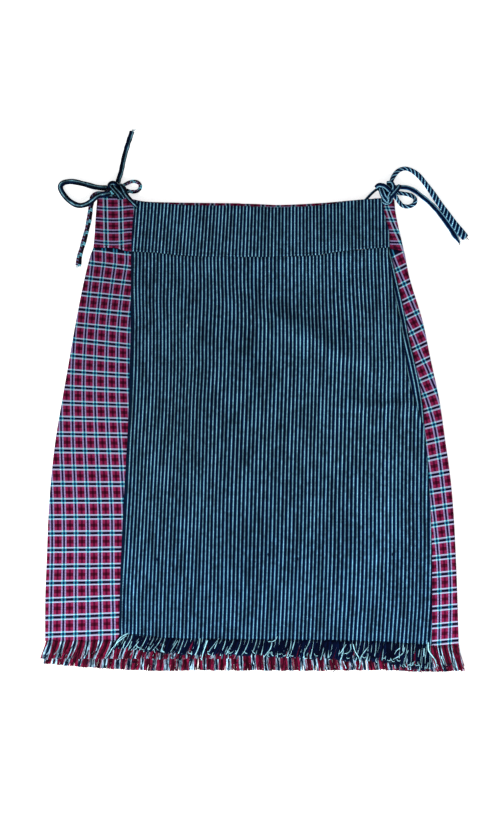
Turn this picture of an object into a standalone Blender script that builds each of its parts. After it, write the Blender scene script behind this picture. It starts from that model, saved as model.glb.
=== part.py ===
"""A wrap skirt of handwoven cotton, laid flat with its front up.

The skirt is two layers. A checked wrap goes round the back and folds over
both sides onto the front. A striped apron panel lies on top of it. Each
layer has a double waistband, cloth ties knotted at both upper corners, and
a hem that is left as fringe.

Garment measures are in millimetres: "across" runs to the right from the
centre line, "down" runs from the waistline to the hem, and "height" is
above the surface that the skirt lies on.
"""

import math
import random
from collections import namedtuple

import bmesh
import bpy
from mathutils import Vector

MM = 0.001

# Driving dimensions
WALL = 1.0                # one layer of the handwoven cotton
BAND = 2.0                # a waistband: the strip folded over, two layers
GAP = 0.3                 # between pieces that lie on or beside each other
WRAP_INNER_LEFT = -15.0   # edge of the wide left flap, under the apron
WRAP_INNER_RIGHT = 145.0  # edge of the narrow right flap at the waist
WRAP_INNER_SLANT = 0.038  # how far that edge runs outward for each mm down
SIDE_PUFF = 1.0           # how much a side fold springs open
PUFF_REACH = 9.0          # how far in from the fold that shows
BAND_RISE = 24.0          # length over which a panel climbs to its waistband
TIE_SIDES = 2             # bevel resolution of the ties, for eight sides
POINT_STEP = 2.4          # tie diameters between points along a tie
FINE_SAMPLES = 20         # samples between two points of a tie's route
TURN_DIAMETER = 5.0       # the turn of tie round the middle of a knot
TURN_FLATTEN = 0.6        # how far that turn is pressed flat
TURN_AROUND = 20          # its sections
TURN_SIDES = 8            # the sides of each section
WELD = 0.01               # closes the ends of a tube that is joined to a knot

# Where the origin lies in the garment's own measures
ORIGIN_ACROSS = 0.155
ORIGIN_DOWN = 265.16

# Heights of the middle of each wall
WRAP_BACK = WALL / 2
FLAP_FRONT = WRAP_BACK + WALL + GAP
APRON_LOW = FLAP_FRONT
APRON_HIGH = FLAP_FRONT + WALL + GAP
BACK_BAND = BAND / 2
FRONT_BAND = BACK_BAND + BAND + GAP
APRON_BAND = FRONT_BAND + BAND + GAP

# Outlines, read down the garment
Side = namedtuple("Side", "down left right")
WRAP_SIDES = (
    Side(-9, -187.0, 169.5),
    Side(12, -188.8, 171.6),
    Side(51, -191.8, 180.2),
    Side(60, -195.2, 182.4),
    Side(90, -202.8, 188.8),
    Side(138, -212.4, 203.4),
    Side(186, -220.8, 213.6),
    Side(234, -229.2, 223.8),
    Side(282, -237.2, 230.8),
    Side(330, -242.6, 237.4),
    Side(378, -246.0, 241.4),
    Side(426, -247.8, 243.8),
    Side(474, -249.6, 245.6),
    Side(528, -249.8, 247.2),
)
APRON_SIDES = (
    Side(-9, -140.2, 157.2),
    Side(5, -142.2, 156.4),
    Side(30, -144.9, 162.2),
    Side(50, -145.7, 163.6),
    Side(74, -146.2, 168.6),
    Side(122, -146.6, 179.8),
    Side(160, -147.0, 187.2),
    Side(193, -147.8, 194.9),
    Side(227, -148.6, 201.4),
    Side(277, -150.5, 206.6),
    Side(317, -152.8, 209.9),
    Side(370, -155.8, 212.9),
    Side(422, -158.2, 214.3),
    Side(475, -159.9, 214.8),
    Side(528, -160.5, 214.2),
)

# Outlines, read across the garment
Level = namedtuple("Level", "across down")
WRAP_TOP = (
    Level(-190, -8.5), Level(-160, -9.6), Level(-148, -7.0), Level(-130, -3.4),
    Level(-97, -2.2), Level(-60, -1.7), Level(0, -0.9), Level(32, 0.4),
    Level(86, -2.2), Level(122, -5.4), Level(157, -7.4), Level(172, -5.6),
)
WRAP_SEAM = (
    Level(-194, 51.4), Level(-167, 51.8), Level(-149, 55.6), Level(-115, 57.2),
    Level(-60, 60.6), Level(20, 61.4), Level(77, 59.4), Level(134, 52.6),
    Level(164, 52.7), Level(184, 56.0),
)
APRON_TOP = (
    Level(-140, -5.2), Level(-97, -1.3), Level(-63, 0.0), Level(-15, 0.7),
    Level(32, 2.3), Level(86, -0.7), Level(122, -6.3), Level(158, -8.8),
)
APRON_SEAM = (
    Level(-146, 56.0), Level(-115, 57.8), Level(-80, 61.2), Level(-3, 62.4),
    Level(40, 61.9), Level(77, 60.4), Level(99, 56.8), Level(134, 53.2),
    Level(164, 50.9),
)
WRAP_HEM_BACK = (
    Level(-250, 523.0), Level(-180, 527.5), Level(-100, 531.5), Level(0, 534.0),
    Level(100, 534.0), Level(180, 531.0), Level(248, 528.4),
)
WRAP_HEM_LEFT = (Level(-250, 523.0), Level(-150, 523.6), Level(-15, 524.0))
WRAP_HEM_RIGHT = (Level(160, 531.6), Level(248, 528.4))
APRON_HEM = (
    Level(-161, 516.4), Level(-140, 516.0), Level(-95, 520.6), Level(0, 522.2),
    Level(60, 522.6), Level(150, 524.6), Level(215, 528.2),
)

# Folds that the apron panel lies in: a soft ridge from one place to another
Fold = namedtuple("Fold", "across_1 down_1 across_2 down_2 width rise")
APRON_FOLDS = (
    Fold(-24, 112, 104, 172, 15, 5.2),
    Fold(70, 168, 150, 196, 13, 2.2),
    Fold(-8, 190, -72, 300, 16, 1.7),
    Fold(120, 238, 196, 241, 10, 2.8),
    Fold(-108, 130, -104, 430, 19, 2.1),
    Fold(-46, 170, -38, 400, 17, 1.8),
    Fold(92, 214, 2, 330, 15, 1.8),
    Fold(78, 336, -20, 470, 15, 1.6),
    Fold(146, 352, 140, 442, 26, 3.0),
    Fold(-96, 90, -60, 200, 14, 1.8),
    Fold(163, 66, 176, 140, 6, 1.7),
    Fold(176, 140, 201, 256, 6, 1.7),
    Fold(-158, 500, -132, 524, 9, 2.4),
)
FLAP_FOLDS = (
    Fold(-178, 80, -190, 260, 9, 1.2),
    Fold(-192, 330, -200, 520, 12, 1.4),
)

# Rows of a panel from its waist seam to its hem, as shares of that length
WRAP_ROWS = (
    0, 0.018, 0.045, 0.09, 0.14, 0.2, 0.27, 0.34,
    0.42, 0.5, 0.58, 0.67, 0.76, 0.84, 0.92, 1,
)
APRON_ROWS = (
    0, 0.015, 0.035, 0.065, 0.1, 0.14, 0.18, 0.22, 0.265, 0.31, 0.36,
    0.41, 0.47, 0.53, 0.6, 0.67, 0.74, 0.81, 0.88, 0.94, 0.975, 1,
)
BAND_ROWS = (0, 0.08, 0.5, 0.92, 1)
APRON_COLUMNS = 27
LEFT_FLAP_COLUMNS = 9
BACK_COLUMNS = 11
RIGHT_FLAP_COLUMNS = 4
FOLD_STEPS = 5

# Fringes: threads of the cloth left unwoven and drawn into small locks
Fringe = namedtuple("Fringe", "name locks first last lean_first lean_last jitter seed")
APRON_FRINGE = Fringe("apron_fringe", 76, -159, 212, -7.0, -2.0, 1.1, 11)
BACK_FRINGE = Fringe("back_fringe", 64, -246, 244, -6.0, 8.0, 1.5, 23)
LEFT_FRINGE = Fringe("left_flap_fringe", 36, -245, -17, -5.0, -2.0, 1.3, 37)
RIGHT_FRINGE = Fringe("right_flap_fringe", 15, 168, 244, 1.0, 9.0, 1.0, 41)
FRINGE_STRIP = 1.5        # depth of the strip that carries the locks
LOCK_SHARE = 0.56         # width of a lock's root within its own pitch
MIDDLE_SHARE = 0.8        # width of a lock half way down, to its root's
TIP_SHARE = 0.42          # width of a lock's tip, to its root's

# Fringe lengths below the hem, read across
BACK_FRINGE_LENGTH = (
    Level(-250, 28), Level(-150, 28), Level(0, 24.5), Level(120, 24.5),
    Level(200, 27.5), Level(248, 28.5),
)
LEFT_FRINGE_LENGTH = (Level(-250, 22), Level(-15, 21))
RIGHT_FRINGE_LENGTH = (Level(160, 24), Level(200, 26.5), Level(248, 28.5))
APRON_FRINGE_LENGTH = (
    Level(-161, 17), Level(-100, 18), Level(0, 19), Level(60, 21.5), Level(160, 24),
    Level(190, 28), Level(215, 29),
)

# Ties: cloth tubes, each with its own run of points chosen by hand. A tie's
# seat is how far the middle of its first section lies from its knot's core.
Point = namedtuple("Point", "across down height")
Knot = namedtuple("Knot", "across down height half_across half_down half_height")
Tie = namedtuple("Tie", "name diameter knot seat colour route")

LEFT_KNOT = Knot(-162.6, -19.6, 6.2, 11.6, 7.0, 4.2)
RIGHT_KNOT = Knot(160.8, -17.6, 6.2, 12.4, 7.2, 4.2)

NAVY = (0.010, 0.024, 0.060)
RED = (0.42, 0.016, 0.065)
KNOT_BLUE = (0.014, 0.034, 0.078)

TIES = (
    Tie("left_long_loop", 5.4, LEFT_KNOT, 2.5, NAVY, (
        Point(-169.2, -20.2, 5.0), Point(-178.8, -20.2, 4.2), Point(-189.6, -21.7, 2.9),
        Point(-203.3, -25.4, 2.9), Point(-217.2, -28.1, 2.9), Point(-227.4, -26.6, 2.9),
        Point(-231.2, -21.6, 2.9), Point(-228.0, -13.8, 2.9), Point(-220.2, -5.0, 2.9),
        Point(-210.0, 0.5, 3.6), Point(-200.4, 0.0, 6.2), Point(-192.6, -3.8, 8.6),
        Point(-185.4, -9.6, 8.9), Point(-177.6, -11.6, 8.8), Point(-170.4, -13.4, 7.6),
    )),
    Tie("left_short_loop", 3.6, LEFT_KNOT, 1.2, RED, (
        Point(-158.4, -21.8, 5.0), Point(-152.2, -25.2, 3.6), Point(-147.4, -27.8, 2.4),
        Point(-141.6, -28.4, 2.1), Point(-136.6, -26.0, 2.1), Point(-135.2, -21.2, 2.1),
        Point(-138.6, -17.0, 2.1), Point(-144.4, -16.0, 2.4), Point(-149.6, -17.0, 3.2),
        Point(-156.4, -18.4, 5.0),
    )),
    Tie("left_upper_end", 5.0, LEFT_KNOT, 2.0, NAVY, (
        Point(-161.4, -20.4, 5.0), Point(-161.6, -28.4, 4.0), Point(-158.4, -39.6, 2.75),
        Point(-154.9, -56.4, 2.75), Point(-150.5, -72.0, 2.75), Point(-145.2, -88.2, 2.75),
    )),
    Tie("left_lower_end", 5.0, LEFT_KNOT, 2.5, RED, (
        Point(-169.6, -15.2, 3.4), Point(-178.8, -13.9, 2.7), Point(-187.2, -13.4, 2.7),
        Point(-192.3, -9.8, 2.7), Point(-193.6, -3.6, 2.7), Point(-194.8, 2.4, 2.7),
        Point(-195.8, 10.8, 2.7), Point(-197.8, 22.8, 2.7), Point(-201.0, 36.0, 2.7),
        Point(-205.0, 50.4, 2.7), Point(-208.4, 62.4, 2.7), Point(-209.6, 72.6, 2.7),
    )),
    Tie("right_ring_loop", 5.0, RIGHT_KNOT, 2.6, NAVY, (
        Point(166.0, -15.6, 5.0), Point(174.6, -14.4, 3.2), Point(181.2, -13.6, 2.8),
        Point(189.0, -11.8, 2.8), Point(194.6, -7.4, 2.8), Point(193.6, -1.6, 2.8),
        Point(186.8, 1.8, 2.8), Point(179.4, 0.6, 2.8), Point(174.9, -4.2, 3.0),
        Point(170.4, -9.6, 6.0), Point(164.0, -12.6, 7.0),
    )),
    Tie("right_bias_end", 5.6, RIGHT_KNOT, 1.5, NAVY, (
        Point(164.6, -20.4, 6.0), Point(165.8, -27.6, 4.4), Point(168.5, -34.1, 3.1),
        Point(174.0, -40.8, 3.1), Point(181.9, -43.7, 3.1), Point(190.2, -41.5, 3.1),
        Point(198.6, -35.4, 3.1), Point(205.8, -27.0, 3.1), Point(213.0, -17.4, 3.1),
        Point(227.4, 3.6, 3.1), Point(242.4, 24.0, 3.1), Point(255.0, 39.6, 3.1),
    )),
    Tie("right_plain_end", 4.6, RIGHT_KNOT, 1.4, NAVY, (
        Point(168.0, -20.4, 5.0), Point(177.6, -21.4, 3.0), Point(186.0, -20.6, 2.6),
        Point(193.8, -17.2, 2.6), Point(201.6, -11.3, 2.6), Point(212.4, -2.4, 2.6),
        Point(224.4, 10.6, 2.6), Point(236.4, 26.9, 2.6), Point(247.8, 45.0, 2.6),
    )),
)

# The short stretches of tie that are sewn to a band or wound round a knot
LEFT_LEAD = (
    Point(-160.0, -17.4, 8.0), Point(-152.4, -12.6, 8.0),
    Point(-146.8, -8.6, 7.2), Point(-141.2, -5.0, 7.0),
)
RIGHT_LEAD = (
    Point(156.0, -18.0, 6.0), Point(148.8, -18.2, 5.6),
    Point(142.2, -14.0, 5.3), Point(135.8, -9.8, 5.2),
)
RIGHT_HOOK = (
    Point(156.6, -16.0, 8.4), Point(155.8, -8.0, 9.6), Point(158.0, -1.4, 9.6),
    Point(163.0, 0.4, 9.6), Point(166.8, -4.4, 8.8), Point(166.4, -14.0, 8.0),
)
LEAD_DIAMETER = 4.4


def smooth(share):
    """A soft step from 0 to 1."""
    share = min(max(share, 0.0), 1.0)
    return share * share * (3 - 2 * share)


def read_curve(places, values, place):
    """A smooth curve through a table's rows, read at one place."""
    last = len(places) - 1
    if place <= places[0]:
        return values[0]
    if place >= places[last]:
        return values[last]
    row = max(i for i in range(last) if places[i] <= place)

    def slope(i):
        low, high = max(i - 1, 0), min(i + 1, last)
        return (values[high] - values[low]) / (places[high] - places[low])

    step = places[row + 1] - places[row]
    t = (place - places[row]) / step
    start = values[row] * (1 + 2 * t) * (1 - t) ** 2
    end = values[row + 1] * t * t * (3 - 2 * t)
    bend = slope(row) * t * (1 - t) ** 2 - slope(row + 1) * t * t * (1 - t)
    return start + end + bend * step


def level(table, across):
    """How far down an outline lies, at a place across the garment."""
    return read_curve([row.across for row in table], [row.down for row in table], across)


def side(table, down, field):
    """How far across a side lies, at a distance down the garment."""
    return read_curve([row.down for row in table], [getattr(row, field) for row in table], down)


def fold_height(folds, across, down):
    """How much a set of soft folds lifts the cloth at one place."""
    total = 0.0
    for fold in folds:
        run_across = fold.across_2 - fold.across_1
        run_down = fold.down_2 - fold.down_1
        length = math.hypot(run_across, run_down)
        t = (across - fold.across_1) * run_across + (down - fold.down_1) * run_down
        t = min(max(t / length ** 2, 0.0), 1.0)
        off_across = across - fold.across_1 - t * run_across
        off_down = down - fold.down_1 - t * run_down
        distance = math.hypot(off_across, off_down)
        total += fold.rise * math.exp(-((distance / fold.width) ** 2))
    return total


def flap_height(across, down):
    """The middle of a front flap's wall, above the surface below."""
    to_fold = min(
        across - side(WRAP_SIDES, down, "left"),
        side(WRAP_SIDES, down, "right") - across,
    )
    puff = SIDE_PUFF * smooth(1 - to_fold / PUFF_REACH)
    lift = fold_height(FLAP_FOLDS, across, down) * smooth(-(across + 152) / 14)
    below_seam = down - level(WRAP_SEAM, across)
    plain = FLAP_FRONT + puff + lift
    return plain + (FRONT_BAND - plain) * smooth(1 - below_seam / BAND_RISE)


def right_flap_inner(down):
    """The free edge of the right flap, under the apron."""
    return WRAP_INNER_RIGHT + WRAP_INNER_SLANT * down


def apron_height(across, down):
    """The middle of the apron's wall: it lies on the flaps, and on the back between."""
    on_left = smooth((22 - (across - WRAP_INNER_LEFT)) / 18)
    on_right = smooth((across - right_flap_inner(down) + 22) / 18)
    plain = APRON_LOW + (APRON_HIGH - APRON_LOW) * max(on_left, on_right)
    plain += fold_height(APRON_FOLDS, across, down)
    below_seam = down - level(APRON_SEAM, across)
    return plain + (APRON_BAND - plain) * smooth(1 - below_seam / (BAND_RISE + 2))


def collection_named(name):
    """A collection linked to the scene."""
    made = bpy.data.collections.new(name)
    bpy.context.scene.collection.children.link(made)
    return made


def clear_scene():
    """Remove whatever objects the file opened with."""
    for thing in list(bpy.data.objects):
        bpy.data.objects.remove(thing, do_unlink=True)


def cloth_material(name, colour, roughness):
    """A plain cotton colour for one piece."""
    material = bpy.data.materials.new(name)
    material.use_nodes = True
    shader = material.node_tree.nodes["Principled BSDF"]
    shader.inputs["Base Color"].default_value = (*colour, 1.0)
    shader.inputs["Roughness"].default_value = roughness
    shader.inputs["Metallic"].default_value = 0.0
    return material


def garment_point(across, down, height):
    """A place on the garment as a vector in metres from the waist's centre."""
    return Vector((across * MM, -down * MM, height * MM))


def piece(name, data, colour, parts, holder):
    """One named piece of the skirt, held by the skirt's own empty."""
    made = bpy.data.objects.new(name, data)
    made.parent = holder
    data.materials.append(cloth_material(name + "_cotton", colour, 0.85))
    parts.objects.link(made)
    return made


def wall_from_sections(name, sections, thickness, colour, parts, holder):
    """A wall of cloth through sections, each a row of points across the piece."""
    mesh = bpy.data.meshes.new(name)
    loft = bmesh.new()
    rows = [[loft.verts.new(garment_point(*point)) for point in row] for row in sections]
    for upper, lower in zip(rows, rows[1:]):
        for i in range(len(upper) - 1):
            loft.faces.new((upper[i], lower[i], lower[i + 1], upper[i + 1]))
    loft.to_mesh(mesh)
    loft.free()
    made = piece(name, mesh, colour, parts, holder)
    wall = made.modifiers.new("Wall", "SOLIDIFY")
    wall.thickness = thickness * MM
    wall.offset = 0.0
    wall.use_even_offset = True
    return made


def wrap_section(share, top, hems, half, back_height, front_height):
    """One section round the wrap: left flap, side fold, back, side fold, right flap.

    share runs from 0 at the top line to 1 at the hem, and hems are the lower
    lines of the left flap, the back and the right flap.
    """
    hem_left, hem_back, hem_right = hems

    def down_at(across, hem):
        start = level(top, across)
        return start + share * (level(hem, across) - start)

    outer_left = side(WRAP_SIDES, down_at(-220, hem_back), "left") + half
    outer_right = side(WRAP_SIDES, down_at(215, hem_back), "right") - half
    points = []

    def front(across, hem):
        down = down_at(across, hem)
        points.append((across, down, front_height(across, down)))

    def fold(outer, direction):
        """Half a turn round a side, from the front to the back or the other way."""
        down = down_at(outer, hem_back)
        top_height = front_height(outer + direction * half, down)
        radius = (top_height - back_height) / 2
        middle = back_height + radius
        centre = outer + direction * radius
        turn = []
        for step in range(FOLD_STEPS + 1):
            angle = math.pi * (0.5 - step / FOLD_STEPS)
            at_across = centre - direction * radius * math.cos(angle)
            turn.append((at_across, down, middle + radius * math.sin(angle)))
        return turn

    left_turn = fold(outer_left, 1)
    right_turn = fold(outer_right, -1)
    left_start = left_turn[0][0]
    right_start = right_turn[0][0]
    for step in range(LEFT_FLAP_COLUMNS):
        t = 1 - (1 - step / LEFT_FLAP_COLUMNS) ** 1.15
        front(WRAP_INNER_LEFT + t * (left_start - WRAP_INNER_LEFT), hem_left)
    points.extend(left_turn)
    for step in range(1, BACK_COLUMNS):
        across = left_start + step / BACK_COLUMNS * (right_start - left_start)
        points.append((across, down_at(across, hem_back), back_height))
    points.extend(reversed(right_turn))
    inner = right_flap_inner(down_at(WRAP_INNER_RIGHT, hem_right))
    for step in range(1, RIGHT_FLAP_COLUMNS + 1):
        t = step / RIGHT_FLAP_COLUMNS
        front(right_start + t * (inner - right_start), hem_right)
    return points


def shifted(table, amount):
    """The same line, moved down by an amount."""
    return tuple(Level(row.across, row.down + amount) for row in table)


def make_wrap(parts, holder):
    """The checked layer: a panel and its waistband, both folded round the sides."""
    hems = (WRAP_HEM_LEFT, WRAP_HEM_BACK, WRAP_HEM_RIGHT)
    top = shifted(WRAP_SEAM, GAP / 2)
    panel = [
        wrap_section(share, top, hems, WALL / 2, WRAP_BACK, flap_height)
        for share in WRAP_ROWS
    ]
    wall_from_sections("wrap_panel", panel, WALL, RED, parts, holder)

    bottom = shifted(WRAP_SEAM, -GAP / 2)
    band = [
        wrap_section(
            share, WRAP_TOP, (bottom,) * 3, BAND / 2, BACK_BAND,
            lambda across, down: FRONT_BAND,
        )
        for share in BAND_ROWS
    ]
    wall_from_sections("wrap_waistband", band, BAND, RED, parts, holder)


def apron_sections(shares, top, bottom, height):
    """Sections of the apron from side to side, between two lines."""
    sections = []
    for share in shares:
        row = []
        for column in range(APRON_COLUMNS + 1):
            t = column / APRON_COLUMNS
            across = -150 + t * 330
            for _ in range(3):
                start = level(top, across)
                down = start + share * (level(bottom, across) - start)
                left = side(APRON_SIDES, down, "left")
                right = side(APRON_SIDES, down, "right")
                across = left + t * (right - left)
            row.append((across, down, height(across, down)))
        sections.append(row)
    return sections


def make_apron(parts, holder):
    """The striped layer: a panel and its waistband, lying on the front."""
    panel = apron_sections(APRON_ROWS, shifted(APRON_SEAM, GAP / 2), APRON_HEM, apron_height)
    wall_from_sections("apron_panel", panel, WALL, NAVY, parts, holder)
    band = apron_sections(
        BAND_ROWS, APRON_TOP, shifted(APRON_SEAM, -GAP / 2),
        lambda across, down: APRON_BAND,
    )
    wall_from_sections("apron_waistband", band, BAND, NAVY, parts, holder)


def make_fringe(fringe, hem, lengths, root_height, tip_height, thickness, colour, parts, holder):
    """A narrow strip along a hem with locks of thread standing out of it."""
    chance = random.Random(fringe.seed)
    loft = bmesh.new()
    pitch = (fringe.last - fringe.first) / fringe.locks
    half_root = pitch * LOCK_SHARE / 2

    def ring(across, lower, middle, thick):
        top = loft.verts.new(garment_point(across, lower, middle + thick / 2))
        bottom = loft.verts.new(garment_point(across, lower, middle - thick / 2))
        return top, bottom

    stations = []
    for number in range(fringe.locks):
        centre = fringe.first + (number + 0.5) * pitch
        for across in (centre - half_root, centre + half_root):
            inner = level(hem, across) + GAP
            middle = root_height(across, inner)
            stations.append((
                ring(across, inner, middle, thickness),
                ring(across, inner + FRINGE_STRIP, middle, thickness),
            ))

    def end_face(station, outward):
        (top_in, bottom_in), (top_out, bottom_out) = station
        corners = (top_in, bottom_in, bottom_out, top_out)
        loft.faces.new(corners if outward < 0 else tuple(reversed(corners)))

    def lock(left, right, number):
        share = (number + 0.5) / fringe.locks
        lean = fringe.lean_first + share * (fringe.lean_last - fringe.lean_first)
        lean += chance.uniform(-1, 1) * fringe.jitter
        centre = fringe.first + (number + 0.5) * pitch
        root = level(hem, centre) + GAP + FRINGE_STRIP
        length = level(lengths, centre) * chance.uniform(0.86, 1.02) - GAP - FRINGE_STRIP
        start = root_height(centre, root)
        rings = [(left[1], right[1])]
        for along, width, thick in ((0.5, MIDDLE_SHARE, 0.95), (1.0, TIP_SHARE, 0.75)):
            middle = start + (tip_height - start) * smooth(along)
            place = centre + lean * along ** 1.4
            lower = root + length * along
            rings.append((
                ring(place - half_root * width, lower, middle, thickness * thick),
                ring(place + half_root * width, lower, middle, thickness * thick),
            ))
        for (left_1, right_1), (left_2, right_2) in zip(rings, rings[1:]):
            loft.faces.new((left_1[0], left_2[0], right_2[0], right_1[0]))
            loft.faces.new((left_1[1], right_1[1], right_2[1], left_2[1]))
            loft.faces.new((left_1[0], left_1[1], left_2[1], left_2[0]))
            loft.faces.new((right_1[0], right_2[0], right_2[1], right_1[1]))
        (top_left, bottom_left), (top_right, bottom_right) = rings[-1]
        loft.faces.new((top_left, bottom_left, bottom_right, top_right))

    end_face(stations[0], -1)
    end_face(stations[-1], 1)
    for i in range(len(stations) - 1):
        left, right = stations[i], stations[i + 1]
        loft.faces.new((left[0][0], left[1][0], right[1][0], right[0][0]))
        loft.faces.new((left[0][1], right[0][1], right[1][1], left[1][1]))
        loft.faces.new((left[0][0], right[0][0], right[0][1], left[0][1]))
        if i % 2 == 0:
            lock(left, right, i // 2)
        else:
            loft.faces.new((left[1][0], left[1][1], right[1][1], right[1][0]))
    mesh = bpy.data.meshes.new(fringe.name)
    loft.to_mesh(mesh)
    loft.free()
    return piece(fringe.name, mesh, colour, parts, holder)


def make_fringes(parts, holder):
    """The four self fringes, each on its own strip."""
    make_fringe(
        APRON_FRINGE, APRON_HEM, APRON_FRINGE_LENGTH, apron_height,
        APRON_HIGH - 0.35, 0.9, NAVY, parts, holder,
    )
    make_fringe(
        BACK_FRINGE, WRAP_HEM_BACK, BACK_FRINGE_LENGTH, lambda across, down: 0.6,
        0.55, 0.8, RED, parts, holder,
    )
    make_fringe(
        LEFT_FRINGE, WRAP_HEM_LEFT, LEFT_FRINGE_LENGTH, flap_height,
        FLAP_FRONT - 0.05, 0.9, RED, parts, holder,
    )
    make_fringe(
        RIGHT_FRINGE, WRAP_HEM_RIGHT, RIGHT_FRINGE_LENGTH, flap_height,
        FLAP_FRONT - 0.05, 0.9, RED, parts, holder,
    )


def curve_through(route):
    """A fine run of points on a smooth curve through a route's points."""
    points = [Vector(point) for point in route]
    points = [2 * points[0] - points[1], *points, 2 * points[-1] - points[-2]]
    fine = []
    for before, start, end, after in zip(points, points[1:], points[2:], points[3:]):
        for sample in range(FINE_SAMPLES):
            t = sample / FINE_SAMPLES
            fine.append(0.5 * (
                2 * start + (end - before) * t
                + (2 * before - 5 * start + 4 * end - after) * t * t
                + (3 * start - before - 3 * end + after) * t ** 3
            ))
    fine.append(points[-2])
    return fine


def even_points(fine, step):
    """The same run of points, thinned to an even step."""
    total = sum((b - a).length for a, b in zip(fine, fine[1:]))
    count = max(4, round(total / step))
    kept = [fine[0]]
    walked = 0.0
    for a, b in zip(fine, fine[1:]):
        walked += (b - a).length
        if walked >= total * len(kept) / count and len(kept) < count:
            kept.append(b)
    kept.append(fine[-1])
    return kept


def clear_of_knot(fine, knot, clearance):
    """Keep the points of a run that lie outside a knot."""
    centre = Vector((knot.across, knot.down, knot.height))
    reach = (
        knot.half_across + clearance,
        knot.half_down + clearance,
        knot.half_height + clearance,
    )
    kept = []
    for point in fine:
        off = point - centre
        if sum((off[i] / reach[i]) ** 2 for i in range(3)) > 1:
            kept.append(point)
    return kept


def tube_curve(name, points, diameter):
    """A curve with a round section and filled ends."""
    curve = bpy.data.curves.new(name, "CURVE")
    curve.dimensions = "3D"
    curve.bevel_depth = diameter / 2 * MM
    curve.bevel_resolution = TIE_SIDES
    curve.use_fill_caps = True
    spline = curve.splines.new("POLY")
    spline.points.add(len(points) - 1)
    for target, point in zip(spline.points, points):
        target.co = (*garment_point(*point), 1.0)
    return curve


def make_ties(parts, holder):
    """Loops and ends of the ties, each starting where it leaves its knot."""
    for tie in TIES:
        free = clear_of_knot(curve_through(tie.route), tie.knot, tie.seat)
        points = even_points(free, tie.diameter * POINT_STEP)
        curve = tube_curve(tie.name, points, tie.diameter)
        piece(tie.name, curve, tie.colour, parts, holder)


def tube_solid(name, route, diameter, cutters, holder):
    """A short tube as a closed mesh, to be joined to a knot."""
    curve = tube_curve(name, even_points(curve_through(route), diameter), diameter)
    source = bpy.data.objects.new(name + "_curve", curve)
    cutters.objects.link(source)
    source.parent = holder
    bpy.context.view_layer.update()
    evaluated = source.evaluated_get(bpy.context.evaluated_depsgraph_get())
    mesh = bpy.data.meshes.new_from_object(evaluated)
    weld = bmesh.new()
    weld.from_mesh(mesh)
    bmesh.ops.remove_doubles(weld, verts=weld.verts, dist=WELD * MM)
    weld.to_mesh(mesh)
    weld.free()
    made = bpy.data.objects.new(name, mesh)
    cutters.objects.link(made)
    made.matrix_world = source.matrix_world
    bpy.data.objects.remove(source, do_unlink=True)
    hide_guide(made)
    return made


def hide_guide(thing):
    """Mark a shape that is only there to be joined to another."""
    thing.hide_render = True
    thing.display_type = "WIRE"


def knot_band(name, knot, turn, cutters, holder):
    """The turn of tie that goes round the middle of a knot."""
    mesh = bpy.data.meshes.new(name)
    minor = TURN_DIAMETER / 2
    ring = bmesh.new()
    rows = []
    for i in range(TURN_AROUND):
        angle = 2 * math.pi * i / TURN_AROUND
        row = []
        for j in range(TURN_SIDES):
            phase = 2 * math.pi * j / TURN_SIDES
            reach = knot.half_down - GAP + minor * math.cos(phase)
            row.append(ring.verts.new((
                minor * math.sin(phase) * MM,
                reach * math.cos(angle) * MM,
                reach * math.sin(angle) * TURN_FLATTEN * MM,
            )))
        rows.append(row)
    for i in range(TURN_AROUND):
        for j in range(TURN_SIDES):
            after, beside = (i + 1) % TURN_AROUND, (j + 1) % TURN_SIDES
            ring.faces.new((rows[i][j], rows[after][j], rows[after][beside], rows[i][beside]))
    bmesh.ops.recalc_face_normals(ring, faces=ring.faces)
    ring.to_mesh(mesh)
    ring.free()
    made = bpy.data.objects.new(name, mesh)
    made.parent = holder
    made.location = garment_point(knot.across, knot.down, knot.height)
    made.rotation_euler = (0, 0, turn)
    cutters.objects.link(made)
    hide_guide(made)
    return made


def make_knot(name, knot, turn, tubes, parts, cutters, holder):
    """A tied knot: its core, the turn round it, and the short stretches fused to it."""
    mesh = bpy.data.meshes.new(name)
    core = bmesh.new()
    bmesh.ops.create_uvsphere(core, u_segments=16, v_segments=8, radius=1.0)
    stretch = Vector((knot.half_across, knot.half_down, knot.half_height)) * MM
    bmesh.ops.scale(core, vec=stretch, verts=core.verts)
    core.to_mesh(mesh)
    core.free()
    made = piece(name, mesh, KNOT_BLUE, parts, holder)
    made.location = garment_point(knot.across, knot.down, knot.height)
    joined = [knot_band(name + "_turn", knot, turn, cutters, holder)]
    for number, route in enumerate(tubes):
        joined.append(tube_solid(f"{name}_tube_{number}", route, LEAD_DIAMETER, cutters, holder))
    for other in joined:
        union = made.modifiers.new("Join " + other.name, "BOOLEAN")
        union.operation = "UNION"
        union.solver = "EXACT"
        union.object = other
    return made


def main():
    clear_scene()
    parts = collection_named("wrap_skirt")
    cutters = collection_named("joined_shapes")
    holder = bpy.data.objects.new("skirt", None)
    holder.location = (-ORIGIN_ACROSS * MM, ORIGIN_DOWN * MM, 0)
    parts.objects.link(holder)
    bpy.context.view_layer.update()
    make_wrap(parts, holder)
    make_apron(parts, holder)
    make_fringes(parts, holder)
    make_knot(
        "left_knot", LEFT_KNOT, math.radians(8), (LEFT_LEAD,),
        parts, cutters, holder,
    )
    make_knot(
        "right_knot", RIGHT_KNOT, math.radians(-20), (RIGHT_LEAD, RIGHT_HOOK),
        parts, cutters, holder,
    )
    make_ties(parts, holder)


main()
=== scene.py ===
# %% [markdown]
# # The looks of a handwoven wrap skirt, laid flat
# The skirt is two layers of cotton. A red, navy and white check goes round
# the back and folds over both sides. A navy cotton with pale stripes lies on
# the front like an apron. Cloth ties are knotted at the two upper corners,
# and the hems are left as fringe.
#
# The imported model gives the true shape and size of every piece. This script
# lays finer cloth over those solids, then gives each piece its weave, its
# colours, its threads and its light.

import bisect
import math
import random
from collections import namedtuple

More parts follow.
